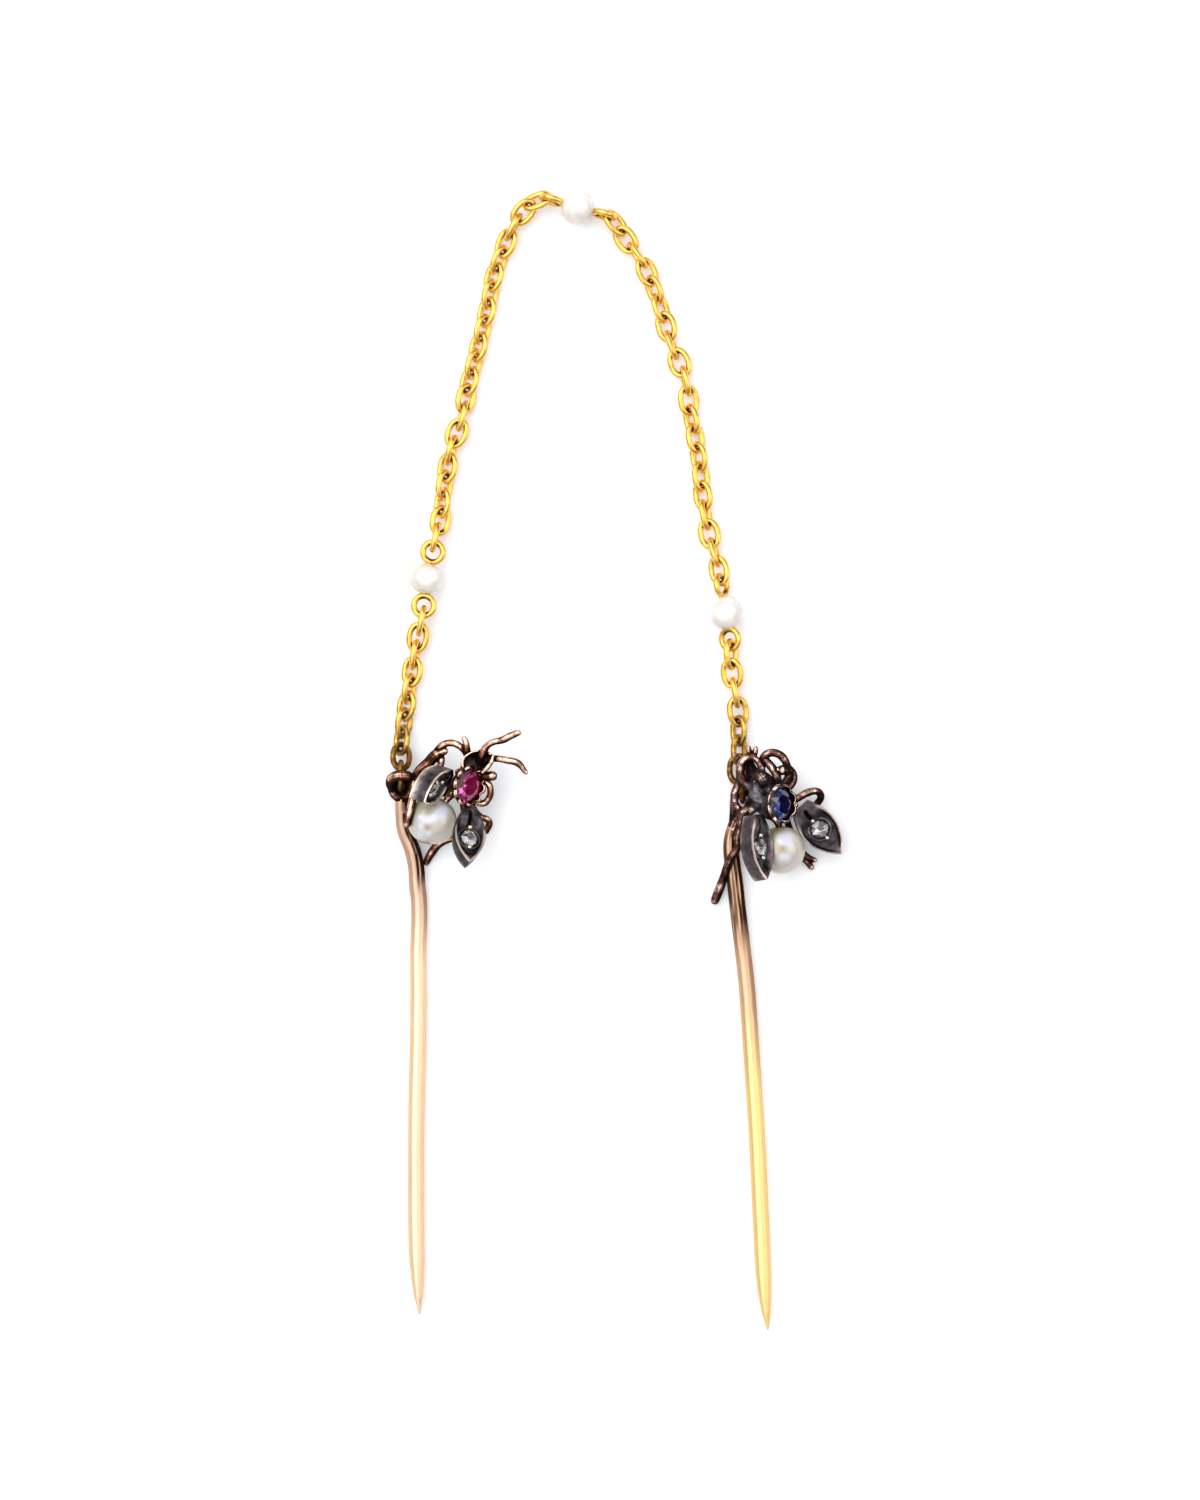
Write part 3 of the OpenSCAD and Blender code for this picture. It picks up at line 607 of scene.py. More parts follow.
def add_collet(bm, at, axis, petals, cut):
    """A tapered cup round a stone. Its thin rim is cut in petals, whose corners hold the stone."""
    profile = [
        (0.35, -collet_drop), (0.95, -collet_drop), (rim_r + 0.2, -0.1), (rim_r + 0.24, 0.26),
        (rim_r - 0.04, 0.34), (rim_r + 0.02, 0.0), (0.75, -0.95), (0.35, -0.95),
    ]
    part = turned(profile, 96, True)
    for vert in part.verts:
        if vert.co.z > -0.2:
            petal = abs(sin(petals / 2 * atan2(vert.co.y, vert.co.x)))
            push = (petal - 0.62) * cut * min(1, (vert.co.z + 0.2) / 0.4)
            vert.co.xy *= 1 + push / vert.co.xy.length
            vert.co.z += 0.12 * (petal - 0.5) * min(1, (vert.co.z + 0.2) / 0.4)
    join(bm, part, facing(at, axis))


def fused(bm, voxel, rounds):
    """Solders what overlaps into one skin, and rounds the joints."""
    bmesh.ops.recalc_face_normals(bm, faces=bm.faces)
    raw = bpy.data.meshes.new("raw")
    bm.to_mesh(raw)
    bm.free()
    holder = bpy.data.objects.new("raw", raw)
    remesh = holder.modifiers.new("solder", "REMESH")
    remesh.mode = "VOXEL"
    remesh.voxel_size = voxel
    flow = holder.modifiers.new("flow", "SMOOTH")
    flow.iterations = rounds
    flow.factor = 0.5
    skin = bmesh.new()
    add_mesh(skin, evaluated(holder))
    bpy.data.meshes.remove(raw)
    return skin


def hammered(bm, coarse, depth, seed, near=(0, 0, 0, 1000)):
    """Dents and ridges left by the hammer and file, pushed into the surface near a point.

    coarse is about how many there are to a millimetre. Weaker ones, 2.7 times finer, lie over them.
    """
    bm.normal_update()
    shift = Vector((seed, seed * 0.7, -seed))
    for vert in bm.verts:
        dent = noise.noise(vert.co * coarse + shift) + 0.3 * noise.noise(vert.co * coarse * 2.7 + shift)
        far = (vert.co - Vector(near[:3])).length / near[3]
        vert.co += vert.normal * depth * dent * exp(-(far**2))


# The key light comes from the top left. What faces away from it is darkened, as painted shade.
key_light_way = (-0.3, 0.2, 0.93)


def mark_hollows_and_shade(bm, rounds, shade_share, crusts_and_shade_spots=()):
    """Stores how deep in a hollow each point lies, how far it faces away from the key light for painted
    shade, and how crusted it is.

    A crust is x, y, z, its reach and how grey it is, where 0 is a dark spot of painted shade.
    """
    bm.normal_update()
    bm.verts.index_update()
    points = np.array([v.co for v in bm.verts])
    normals = np.array([v.normal for v in bm.verts])
    edges = np.array([[e.verts[0].index, e.verts[1].index] for e in bm.edges])
    ends = np.concatenate([edges[:, 0], edges[:, 1]])
    others = np.concatenate([edges[:, 1], edges[:, 0]])
    count = np.bincount(ends, minlength=len(points))[:, None]
    smooth = points.copy()
    for _ in range(rounds):
        total = np.stack([np.bincount(ends, smooth[others, k], len(points)) for k in range(3)], axis=1)
        smooth = total / np.maximum(count, 1)
    deep = ((smooth - points) * normals).sum(axis=1)
    deep = np.clip((deep - np.median(deep)) / (2 * deep.std()), -1, 1)
    # Painted shade: from 0 on the side that faces the key light to 1 on all that faces sideways or away from
    # it
    under = np.clip(1 - normals @ np.array(key_light_way) / 0.8, 0, 1)
    dirt_and_shade = np.zeros(len(points))
    crusted = np.zeros(len(points))
    # A grey crust darkens only a little. A spot that is not grey is full painted shade
    for *middle, reach, grey in crusts_and_shade_spots:
        far = np.linalg.norm(points - np.array(middle), axis=1) / reach
        near = np.exp(-(far**2))
        dirt_and_shade = np.maximum(dirt_and_shade, (0.2 if grey else 1.0) * near)
        crusted = np.maximum(crusted, grey * near)
    # Each point is darkened by the patina of its hollow, by painted shade away from the key light and by the
    # painted shade spots
    hollow_and_shade = bm.verts.layers.float.new("hollow_and_shade")
    oxide = bm.verts.layers.float.new("oxide")
    for vert, depth, crust in zip(bm.verts, 0.5 * deep + shade_share * under + dirt_and_shade, crusted):
        vert[hollow_and_shade] = float(depth)
        vert[oxide] = float(crust)


copper_gold = aged_gold("aged_rose_gold", "#f5caae", "#804e3c", "#1e100c", 0.25)

wires = [left_body_rows, *left_wires.values()]
bm = soldered_wires(wires, 0.035, left_stem_rows[-2:], 0.04)
add_collet(bm, ruby_at, ruby_axis, petals=10, cut=0.3)
# The head is an oval cup, hollow and open at the top
oval = Matrix.Rotation(radians(head_turn), 4, "Z") @ Matrix.Diagonal((*head_stretch, 1, 1))
join(bm, turned(head_profile, 48), Matrix.Translation(head_at) @ oval)
bm = fused(bm, voxel=0.056, rounds=3)
hammered(bm, coarse=0.7, depth=0.04, seed=3.0)
mark_hollows_and_shade(bm, rounds=12, shade_share=0.5, crusts_and_shade_spots=left_crusts_and_shade_spots)
finish_piece("left_insect_metal", bm, [copper_gold], ["left_pin"])


def drawn_gold(name, clean, aged, brown):
    """Drawn gold wire: clean towards the point, reddish and brown near the insect.

    It has drawing lines about 0.15 mm apart and streaks of dirt about 0.5 mm wide. Its brown is dirt
    near the insect, and painted shade on the sides that face away from the key light.
    """
    material, tree, shader = start_material(name, Metallic=1, Specular_Tint=linear("#c89a70"))
    place = add(tree, "ShaderNodeTexCoord", {}).outputs["Object"]
    along = add(tree, "ShaderNodeMapping", {"Vector": place, "Scale": (1, 0.07, 1)}).outputs["Vector"]
    lines = noise_texture(tree, along, 6500, 2)
    streaks = noise_texture(tree, along, 1900, 3)
    worn = attribute(tree, "toward_insect")
    grime_and_shade = attribute(tree, "grime_and_shade")
    # The patina of the grooves, and painted shade on what faces away from the key light
    side = attribute(tree, "hollow_and_shade")
    gold = mixed(tree, worn.outputs["Fac"], linear(clean), linear(aged))
    # Dirt streaks, and painted shade on the grooves and on the sides away from the light
    dirt_and_shade = add(tree, "ShaderNodeMath", {0: side.outputs["Fac"], 1: streaks.outputs["Fac"]}, operation="ADD")
    dirt_and_shade = spread(tree, dirt_and_shade.outputs[0], 0.3, 0.52)
    dirt_and_shade = add(tree, "ShaderNodeMath", {0: dirt_and_shade.outputs[0], 1: grime_and_shade.outputs["Fac"]}, operation="MULTIPLY")
    colour = mixed(tree, dirt_and_shade.outputs[0], gold.outputs["Result"], linear(brown))
    height = lines.outputs["Fac"]
    rough = between_values(tree, height, 0.42, 0.56)
    bump = add(tree, "ShaderNodeBump", {"Height": height, "Strength": 0.15, "Distance": 0.00006})
    tree.links.new(colour.outputs["Result"], shader.inputs["Base Color"])
    tree.links.new(rough.outputs["Result"], shader.inputs["Roughness"])
    tree.links.new(bump.outputs["Normal"], shader.inputs["Normal"])
    return material


drawn_groove = 0.014
right_edge_shade = 0.45


def make_stem(name, rows, material, node, seed, tint, dirt_and_shade, left_dirt):
    """A drawn stem with shallow lengthwise grooves.

    tint and the dirt span each give the Y where they begin and the Y where they are full. The lit left
    side has only left_dirt of the darkening. The rest, on the right side away from the key light, is
    painted shade. A little painted shade also runs down the right edge with the tint.
    """
    bm = bmesh.new()
    add_mesh(bm, swept_wire(rows, 12))
    bmesh.ops.remove_doubles(bm, verts=bm.verts, dist=0.0005)
    bmesh.ops.recalc_face_normals(bm, faces=bm.faces)
    long_edges = [e for e in bm.edges if e.calc_length() > 0.3]
    bmesh.ops.subdivide_edges(bm, edges=long_edges, cuts=2, use_grid_fill=True)
    bm.normal_update()
    for vert in bm.verts:
        along = Vector((vert.co.x * 3, vert.co.y * 0.25, vert.co.z * 3 + seed))
        vert.co += vert.normal * drawn_groove * noise.noise(along)
    mark_hollows_and_shade(bm, rounds=4, shade_share=0.5)
    toward_insect = bm.verts.layers.float.new("toward_insect")
    grime_and_shade = bm.verts.layers.float.new("grime_and_shade")
    for vert in bm.verts:
        vert[toward_insect] = ease(vert.co.y, *tint)
        # Painted shade: the right side, away from the key light, takes all of it, and the lit left side only
        # left_dirt
        shaded = left_dirt + (1 - left_dirt) * ease(vert.normal.x, -0.2, 0.15)
        # Painted shade down the right edge
        edge = right_edge_shade * ease(vert.normal.x, 0.2, 0.7)
        vert[grime_and_shade] = max(shaded * ease(vert.co.y, *dirt_and_shade), edge * ease(vert.co.y, *tint))
    finish_piece(name, bm, [material], [node])


peach_gold = drawn_gold("drawn_peach_gold", "#fcdcb6", "#d9b49d", "#2e1e16")
make_stem(
    "left_stem", left_stem_rows, peach_gold, "left_pin",
    seed=2.0, tint=(-19, -11.5), dirt_and_shade=(-12.4, -10), left_dirt=0.1,
)


# Right pin's metal: the same make as the left, darker and rougher from use, with looped forelegs
# and a low catch that the chain hangs on.
right_stem_rows = [
    (13.86, -51.2, 0.72, 0.07), (13.83, -50.7, 0.72, 0.18), (13.72, -49.6, 0.73, 0.39),
    (13.6, -48.2, 0.73, 0.55), (13.48, -46.4, 0.73, 0.67), (13.38, -44.4, 0.73, 0.71),
    (13.2, -40.5, 0.73, 0.72), (12.93, -34.5, 0.73, 0.72), (12.62, -29.7, 0.73, 0.72),
    (12.38, -26, 0.73, 0.72), (12.2, -23.2, 0.73, 0.72), (11.97, -20.2, 0.73, 0.72),
    (11.57, -16.6, 0.73, 0.72), (11.14, -13, 0.73, 0.72), (10.92, -11, 0.75, 0.73),
    (10.68, -9.1, 0.8, 0.72), (10.55, -7.6, 0.88, 0.68), (10.78, -6.2, 1, 0.62),
    (11.25, -5.2, 1.25, 0.55), (11.95, -4.6, 1.7, 0.5), (12.6, -4.1, 2.3, 0.5), (13.2, -3.6, 2.8, 0.5),
]
right_body_rows = [
    (14.87, -6.55, 2.88, 0.26), (14.8, -5.8, 3.02, 0.26), (14.6, -5.2, 3.05, 0.42),
    (13.9, -4.4, 3.1, 0.85), (13.1, -3.4, 3.3, 0.85), (12.9, -2.6, 3.35, 0.7), (12.85, -2.1, 3.3, 0.65),
]
right_wires = {
    "catch": [
        (10.8, -5.9, 1, 0.4), (10.85, -4.5, 1.1, 0.34), (10.85, -3.6, 1.1, 0.33),
        (11.08, -3, 1.1, 0.33), (11.5, -2.82, 1.1, 0.33), (12.05, -2.85, 1.3, 0.34),
        (12.7, -3.1, 1.9, 0.4), (13.3, -3.5, 2.7, 0.45),
    ],
    "left_foreleg": [
        (12, -2.3, 3.3, 0.3), (11.48, -1.6, 3.4, 0.36), (11.36, -0.8, 3.5, 0.38),
        (11.6, -0.06, 3.6, 0.36), (12.12, 0.28, 3.75, 0.31), (12.7, 0.12, 3.85, 0.25),
        (13.15, -0.5, 3.9, 0.23), (13.4, -1.2, 3.8, 0.24),
    ],
    "left_elbow": [
        (11.4, -1.4, 3, 0.27), (11.05, -2.3, 2.95, 0.27), (10.8, -3.35, 2.95, 0.28),
        (11.05, -4.1, 3, 0.28), (11.6, -4.55, 3.2, 0.28), (12.6, -4.2, 3.4, 0.3),
    ],
    "right_foreleg": [
        (12.7, -1.7, 3.2, 0.3), (13.3, -0.45, 3.2, 0.32), (13.4, 0.15, 3.4, 0.32),
        (13.85, 0.62, 3.6, 0.33), (14.55, 0.65, 3.7, 0.33), (15.2, 0.2, 3.7, 0.32),
        (15.6, -0.65, 3.6, 0.28), (15.6, -1.5, 3.4, 0.26), (15.1, -2.2, 3.1, 0.26),
        (14.2, -3, 2.9, 0.3),
    ],
    "foreleg_bar": [
        (13.45, 0.2, 3.45, 0.3), (14.08, -0.5, 3.7, 0.34), (14.55, -1.3, 3.75, 0.34),
        (14.75, -2.1, 3.4, 0.28),
    ],
    "foreleg_bead": [
        (15.7, -0.9, 3.6, 0.25), (15.35, -0.86, 3.75, 0.38), (15.05, -0.84, 3.85, 0.42),
        (14.75, -0.82, 3.9, 0.25),
    ],
    "inner_arc": [
        (15.6, -0.5, 3.3, 0.22), (16.15, -1.4, 2.9, 0.3), (15.8, -2.3, 2.8, 0.3), (14.4, -3.3, 2.8, 0.28),
    ],
    "head_bowl": [(12.2, -0.3, 2.4, 0.4), (12.4, -1.0, 2.3, 0.55), (12.7, -1.9, 2.7, 0.55)],
    "nose": [(12.9, -1.3, 3.7, 0.3), (13.25, -1.5, 4.1, 0.45), (13.35, -1.95, 3.7, 0.45)],
    "neck": [(13.3, -1.2, 2.9, 0.35), (13.9, -1.9, 2.9, 0.5), (13.9, -2.8, 3.0, 0.6)],
    "shoulders": [(12.15, -3.85, 2.9, 0.4), (12.75, -3.55, 3.1, 0.8), (13.7, -4, 3.1, 0.95)],
    "left_claw": [(10.85, 0.45, 2.7, 0.16), (11.35, 0, 3.15, 0.22)],
    "middle_claw": [(12.1, 1.15, 3.1, 0.16), (12.15, 0.5, 3.4, 0.22)],
    "right_claw": [(12.75, 1.1, 3.2, 0.16), (12.55, 0.35, 3.45, 0.22)],
    "upper_leg": [
        (14, -3.6, 2.9, 0.3), (16, -3.6, 2.3, 0.28), (17.4, -2.9, 2, 0.29), (18.3, -2.78, 1.6, 0.29),
        (18.62, -3.25, 1.2, 0.29), (18.35, -3.8, 0.75, 0.29), (17.8, -4.3, 0.3, 0.28),
    ],
    "hind_leg": [
        (12.8, -4, 3.5, 0.4), (11.6, -4.75, 3.45, 0.4), (11.3, -5.95, 3.25, 0.34),
        (11.1, -6.85, 3, 0.36), (11.1, -7.7, 2.6, 0.32), (10.4, -9, 2, 0.35),
        (9.95, -10.3, 1.2, 0.31), (9.7, -11.1, 0.8, 0.34), (9.1, -12.6, 0.36, 0.33),
    ],
    "low_foot": [
        (14.2, -4.2, 2.7, 0.3), (15.4, -5.2, 2, 0.28), (15.9, -6.3, 1, 0.26),
        (16.4, -7.4, 0.6, 0.27), (16.9, -8.4, 0.5, 0.32), (17.4, -9, 0.4, 0.32),
        (17.8, -9.6, 0.32, 0.2),
    ],
    "low_foot_toe": [(16.9, -8.3, 0.5, 0.3), (17.45, -8.75, 0.5, 0.28), (18.1, -8.95, 0.4, 0.18)],
    "upper_wing_tang": [(13, -3.9, 3.6, 0.45), (12.4, -4.4, 4.55, 0.32)],
    "lower_wing_tang": [(14.6, -4.1, 2.9, 0.4), (16.2, -4, 2.7, 0.3)],
}
sapphire_at = (14.92, -3.87, 4.6)
sapphire_axis = (0.68, 0, 0.73)
right_body_dents = (13.0, -3.3, 3.6, 1.5)
# A grey crust on the body, and a dark spot of painted shade in the bowl of the head
right_crusts_and_shade_spots = [(13.0, -3.3, 3.6, 1.7, 0.9), (12.3, -1.0, 2.2, 1.1, 0)]

dark_gold = aged_gold("dark_aged_gold", "#f2cebb", "#6e483d", "#190e0e", 0.21)

wires = [right_body_rows, *right_wires.values()]
bm = soldered_wires(wires, 0.06, right_stem_rows[-5:], 0.05)
add_collet(bm, sapphire_at, sapphire_axis, petals=8, cut=0.18)
bm = fused(bm, voxel=0.055, rounds=3)
hammered(bm, coarse=0.8, depth=0.045, seed=8.0)
hammered(bm, coarse=2.2, depth=0.11, seed=5.0, near=right_body_dents)
mark_hollows_and_shade(bm, rounds=12, shade_share=0.5, crusts_and_shade_spots=right_crusts_and_shade_spots)
finish_piece("right_insect_metal", bm, [dark_gold], ["right_pin"])

yellow_stem_gold = drawn_gold("drawn_yellow_gold", "#fcdc95", "#dfb796", "#3a2018")
make_stem(
    "right_stem", right_stem_rows, yellow_stem_gold, "right_pin",
    seed=9.0, tint=(-31, -19), dirt_and_shade=(-18.6, -13.8), left_dirt=0.85,
)


# Thorax stones: an old cut ruby and sapphire, each in a closed collet over coloured foil. The stone
# is clear, tinted corundum, and the foil under it throws the light back through the facets.
cut_r = stone_d / 2 - 0.02
table_r = 0.56 * cut_r
crown_h = 0.4
pavilion_h = 0.35
foil_h = 0.5
foil_wall = 0.03
# Each ring of corners has its height, its radius, how many corners it has and its turn in corners
stone_rings = [
    (crown_h, table_r, 8, 0), (crown_h / 2, 0.46 * cut_r + 0.54 * table_r, 16, 0.5),
    (0.06, cut_r, 16, 0), (0, cut_r, 16, 0),
    (-pavilion_h * 0.6, 0.48 * cut_r, 8, 0.5), (-pavilion_h, 0.08 * cut_r, 8, 0),
]


def faceted(rings, start_turn=0):
    """A cut stone, whose facets are the hull of rings of corners."""
    bm = bmesh.new()
    for height, radius, corners, turn in rings:
        verts = bmesh.ops.create_circle(bm, segments=corners, radius=radius)["verts"]
        to_start = Matrix.Rotation(2 * pi * turn / corners + start_turn, 3, "Z")
        bmesh.ops.rotate(bm, verts=verts, matrix=to_start)
        bmesh.ops.translate(bm, verts=verts, vec=(0, 0, height))
    bmesh.ops.convex_hull(bm, input=bm.verts)
    bmesh.ops.delete(bm, geom=[e for e in bm.edges if not e.link_faces], context="EDGES")
    bmesh.ops.dissolve_limit(bm, angle_limit=radians(1), verts=bm.verts, edges=bm.edges)
    return bm


def corundum(name, tint, foil_tint, deep, foil_metal, foil_rough):
    """Clear tinted corundum, and the dappled foil under it, whose cells are about 0.7 mm wide and lighter in
    the middle, as painted glints.
    """
    stone, _, _ = start_material(
        name,
        Base_Color=linear(tint),
        Roughness=0.05,
        IOR=1.77,
        Transmission_Weight=1.0,
        Specular_IOR_Level=0.08,
    )
    foil, tree, shader = start_material("foil_under_" + name, Metallic=foil_metal, Roughness=foil_rough)
    place = add(tree, "ShaderNodeTexCoord", {}).outputs["Object"]
    painted_foil_glints = add(tree, "ShaderNodeTexVoronoi", {"Vector": place, "Scale": 1500})
    # Painted glints: the foil is lighter in the middle of each cell
    ramp = ramped(tree, painted_foil_glints.outputs["Distance"], {0: linear(foil_tint), 0.75: linear(deep)})
    tree.links.new(ramp.outputs["Color"], shader.inputs["Base Color"])
    return stone, foil


def set_stone(name, at, axis, materials, node):
    """A stone in its collet, and the shallow cone of foil under it."""
    stone, foil = materials
    bm = faceted(stone_rings)
    bmesh.ops.transform(bm, verts=bm.verts, matrix=facing(at, axis))
    finish_piece(name, bm, [stone], [node], smooth=False)
    bm = bmesh.new()
    bmesh.ops.create_cone(
        bm, cap_ends=False, segments=8, radius1=0.2, radius2=stone_d / 2 + 0.02, depth=foil_h
    )
    bmesh.ops.translate(bm, verts=bm.verts, vec=(0, 0, -0.3))
    bmesh.ops.solidify(bm, geom=bm.verts[:] + bm.edges[:] + bm.faces[:], thickness=-foil_wall)
    bmesh.ops.transform(bm, verts=bm.verts, matrix=facing(at, axis))
    finish_piece(name + "_foil", bm, [foil], [node], smooth=False)


ruby_look = corundum("ruby", "#e25eac", "#d03a9a", "#a8166c", foil_metal=0.0, foil_rough=0.6)
sapphire_look = corundum("sapphire", "#424e9c", "#3647a6", "#1e2874", foil_metal=0.2, foil_rough=0.55)
set_stone("ruby_stone", ruby_at, ruby_axis, ruby_look, "left_ruby")
set_stone("sapphire_stone", sapphire_at, sapphire_axis, sapphire_look, "right_sapphire")


# Wings: solid silver leaves, darkened by age, whose rims are rubbed bright. Each is dished round
# one rose-cut diamond, which sits in a low collar between two grains, and a groove runs from the
# root to the first grain.
field_depth = 0.45
diamond_d = 1.95
groove_depth = 0.34
groove_half_width = 0.13
rim_band = 0.2
grain_r = 0.22
grain_reach = diamond_d / 2 + 0.04
collar_wire_d = 0.18
# stone is where the diamond lies, as a share of the length, and at_root the share of the thickness
# that the root has. wall, edge and rims say how rubbed the walls, the lower edge and the two sides
# of the rim are, and rub_from at which share of the length the rubbing of the rim begins. The
# difference between the two sides of the rim is partly a painted highlight on the side raised to the light.
wings = {
    "left_wing_upper": {
        "root": (-14.3, -1.1, 4.7), "tip": (-16.8, -3.75, 7.9), "face": (0.81, -0.33, 0.48), "stone": 0.55,
        "width": 2.6, "thick": 1.65, "at_root": 1, "fullness": 0.12, "wall": 0.06, "edge": 0.8,
        "rims": (1.15, 0.6), "rub_from": 0,
    },
    "left_wing_lower": {
        "root": (-12.75, -4.05, 3.75), "tip": (-12.8, -8.95, 6.6), "face": (0.35, 0.48, 0.8), "stone": 0.55,
        "width": 2.9, "thick": 1.4, "at_root": 0.4, "fullness": 0.16, "wall": 0.02, "edge": 0.35,
        "rims": (1.1, 1), "rub_from": 0.3,
    },
    "right_wing_upper": {
        "root": (13.05, -4.8, 5.65), "tip": (13.68, -10.6, 6.2), "face": (0.78, 0.15, 0.6), "stone": 0.49,
        "width": 3.1, "thick": 1.4, "at_root": 1, "fullness": 0.16, "wall": 0.16, "edge": 0.45,
        "rims": (1.1, 0.2), "rub_from": 0,
    },
    "right_wing_lower": {
        "root": (16.83, -4.25, 3.2), "tip": (20.45, -8.4, 2.4), "face": (0.1, -0.1, 0.99), "stone": 0.47,
        "width": 3.35, "thick": 1.3, "at_root": 1, "fullness": 0.24, "wall": 0.1, "edge": 0.3,
        "rims": (0.35, 0.5), "rub_from": 0,
    },
}


def aged_silver(name, grey, bright):
    """Silver with dark tarnish, whose rubbed rims are bright."""
    material, tree, shader = start_material(name, Metallic=1)
    place = add(tree, "ShaderNodeTexCoord", {}).outputs["Object"]
    rubbed = attribute(tree, "rubbed")
    # Tarnish clouds of about 0.8 mm and pits of about 0.1 mm
    cloud = noise_texture(tree, place, 1300, 4)
    pits = noise_texture(tree, place, 9000, 2)
    shine = scaled(tree, cloud.outputs["Fac"], 0.8, rubbed.outputs["Fac"])
    shine = spread(tree, shine.outputs[0], 0.3, 1.3)
    shine = shine.outputs["Result"]
    ramp = ramped(tree, shine, {0: linear("#232226"), 0.4: linear(grey), 0.85: linear(bright)})
    rough = between_values(tree, shine, 0.45, 0.38)
    bump = add(tree, "ShaderNodeBump", {"Height": pits.outputs["Fac"], "Strength": 0.3, "Distance": 0.00006})
    tree.links.new(ramp.outputs["Color"], shader.inputs["Base Color"])
    tree.links.new(rough.outputs["Result"], shader.inputs["Roughness"])
    tree.links.new(bump.outputs["Normal"], shader.inputs["Normal"])
    return material


# The left wings are cool grey and the right ones browner. Only the lower left one has gold grains
left_silver = aged_silver("tarnished_silver", "#665f63", "#f2dccb")
right_silver = aged_silver("browned_silver", "#6c6062", "#ecd6ca")
gold_grain, _, _ = start_material(
    "rubbed_gold_grain", Base_Color=linear("#f3dcae"), Metallic=1, Roughness=0.25
)
silver_grain, _, _ = start_material(
    "rubbed_silver_grain", Base_Color=linear("#d8ccc8"), Metallic=1, Roughness=0.25
)
wing_looks = {
    "left_wing_upper": [left_silver, silver_grain],
    "left_wing_lower": [left_silver, gold_grain],
    "right_wing_upper": [right_silver, silver_grain],
    "right_wing_lower": [right_silver, silver_grain],
}


for name, wing in wings.items():
    root, tip = Vector(wing["root"]), Vector(wing["tip"])
    length = (tip - root).length
    middle = length * wing["stone"]
    full, rub_from = wing["fullness"], wing["rub_from"]
    bm = bmesh.new()
    rubbed = bm.verts.layers.float.new("rubbed")
    bmesh.ops.create_grid(bm, x_segments=72, y_segments=32, size=1)
    for vert in bm.verts:
        # The leaf's outline is a sine, blunt at the root and pointed at the tip
        share, across = (vert.co.x + 1) / 2, sin(vert.co.y * pi / 2)
        half = wing["width"] / 2 * sin(pi * (full + (1 - full) * share) ** 1.25) ** 0.85 if share < 1 else 0
        x, y = length * share, half * across
        edge = half * (1 - abs(across))
        bowl = ease(edge, 0.1, 0.42) * ease(share, 0.16, 0.4) * ease(1 - share, 0.05, 0.2)
        groove = ease(x, 0.3, 0.6) * ease(middle - grain_reach - x, 0, 0.2)
        groove *= exp(-((y / groove_half_width) ** 2))
        dent = 0.02 * noise.noise(Vector((x, y, 7)) * 1.3)
        vert.co = (x, y, -field_depth * bowl - groove_depth * groove + dent)
        # The rim is rubbed bright, and its side raised to the light has more, as a painted highlight
        rub = wing["rims"][int(across > 0)] * ease(share, rub_from, rub_from + 0.3)
        vert[rubbed] = rub * (1 - ease(edge, 0.12, 0.3)) + 0.12 * (1 - bowl) - 0.5 * groove
    bmesh.ops.remove_doubles(bm, verts=bm.verts, dist=0.001)
    # The walls go down in four bands, which are more rubbed towards the lower edge
    band = (wing["thick"] - 2 * rim_band) / 2
    wall, low_edge = wing["wall"], wing["edge"]
    bands = ((rim_band, wall), (band, wall), (band, (wall + low_edge) / 2), (rim_band, low_edge))
    for drop, wear in bands:
        border = [e for e in bm.edges if e.is_boundary]
        walls = bmesh.ops.extrude_edge_only(bm, edges=border)["geom"]
        lower = [g for g in walls if isinstance(g, bmesh.types.BMVert)]
        for vert in lower:
            share = ease(vert.co.x, length * 0.25, length * 0.9)
            vert.co.z -= drop * (wing["at_root"] + (1 - wing["at_root"]) * share)
            vert[rubbed] = wear
    bmesh.ops.holes_fill(bm, edges=[e for e in bm.edges if e.is_boundary], sides=0)
    for edge in bm.edges:
        edge.smooth = edge.calc_face_angle(0) < radians(40)
    for side in (-1, 1):
        lump = Matrix.Translation((middle + side * grain_reach, 0, -field_depth + 0.26))
        before = len(bm.faces)
        bmesh.ops.create_icosphere(bm, subdivisions=3, radius=grain_r, matrix=lump)
        bm.faces.ensure_lookup_table()
        for face in bm.faces[before:]:
            face.material_index = 1
    collar = bmesh.new()
    ring(collar, grain_reach, collar_wire_d, 0, turns=28, sides=8)
    worn = collar.verts.layers.float.new("rubbed")
    for vert in collar.verts:
        vert[worn] = 0.3
    join(bm, collar, Matrix.Translation((middle, 0, -field_depth + 0.02)))
    wing["lie"] = placed(root, tip - root, wing["face"])
    wing["middle"] = middle
    bmesh.ops.transform(bm, verts=bm.verts, matrix=wing["lie"])
    finish_piece(name + "_leaf", bm, wing_looks[name], [name])


# Diamonds: small rose cuts, domed on top and flat below, over grey foil in a closed seat. Their
# index is set a little under the real 2.42, which shows more of the foil.
rose_rings = [
    (0, 0.5 * diamond_d, 12, 0), (0.26, 0.41 * diamond_d, 12, 0.5),
    (0.46, 0.21 * diamond_d, 6, 0), (0.52, 0.01 * diamond_d, 6, 0),
]
rose_turn = 0.2
seat_z = -field_depth - 0.04
foil_z = -field_depth + 0.02

diamond, _, _ = start_material(
    "rose_cut_diamond", Base_Color=linear("#f3eff0"), Roughness=0.01, IOR=2.2, Transmission_Weight=1.0
)
grey_foil, tree, shader = start_material("grey_foil_painted_glints", Metallic=1, Roughness=0.25)
place = add(tree, "ShaderNodeTexCoord", {}).outputs["Object"]
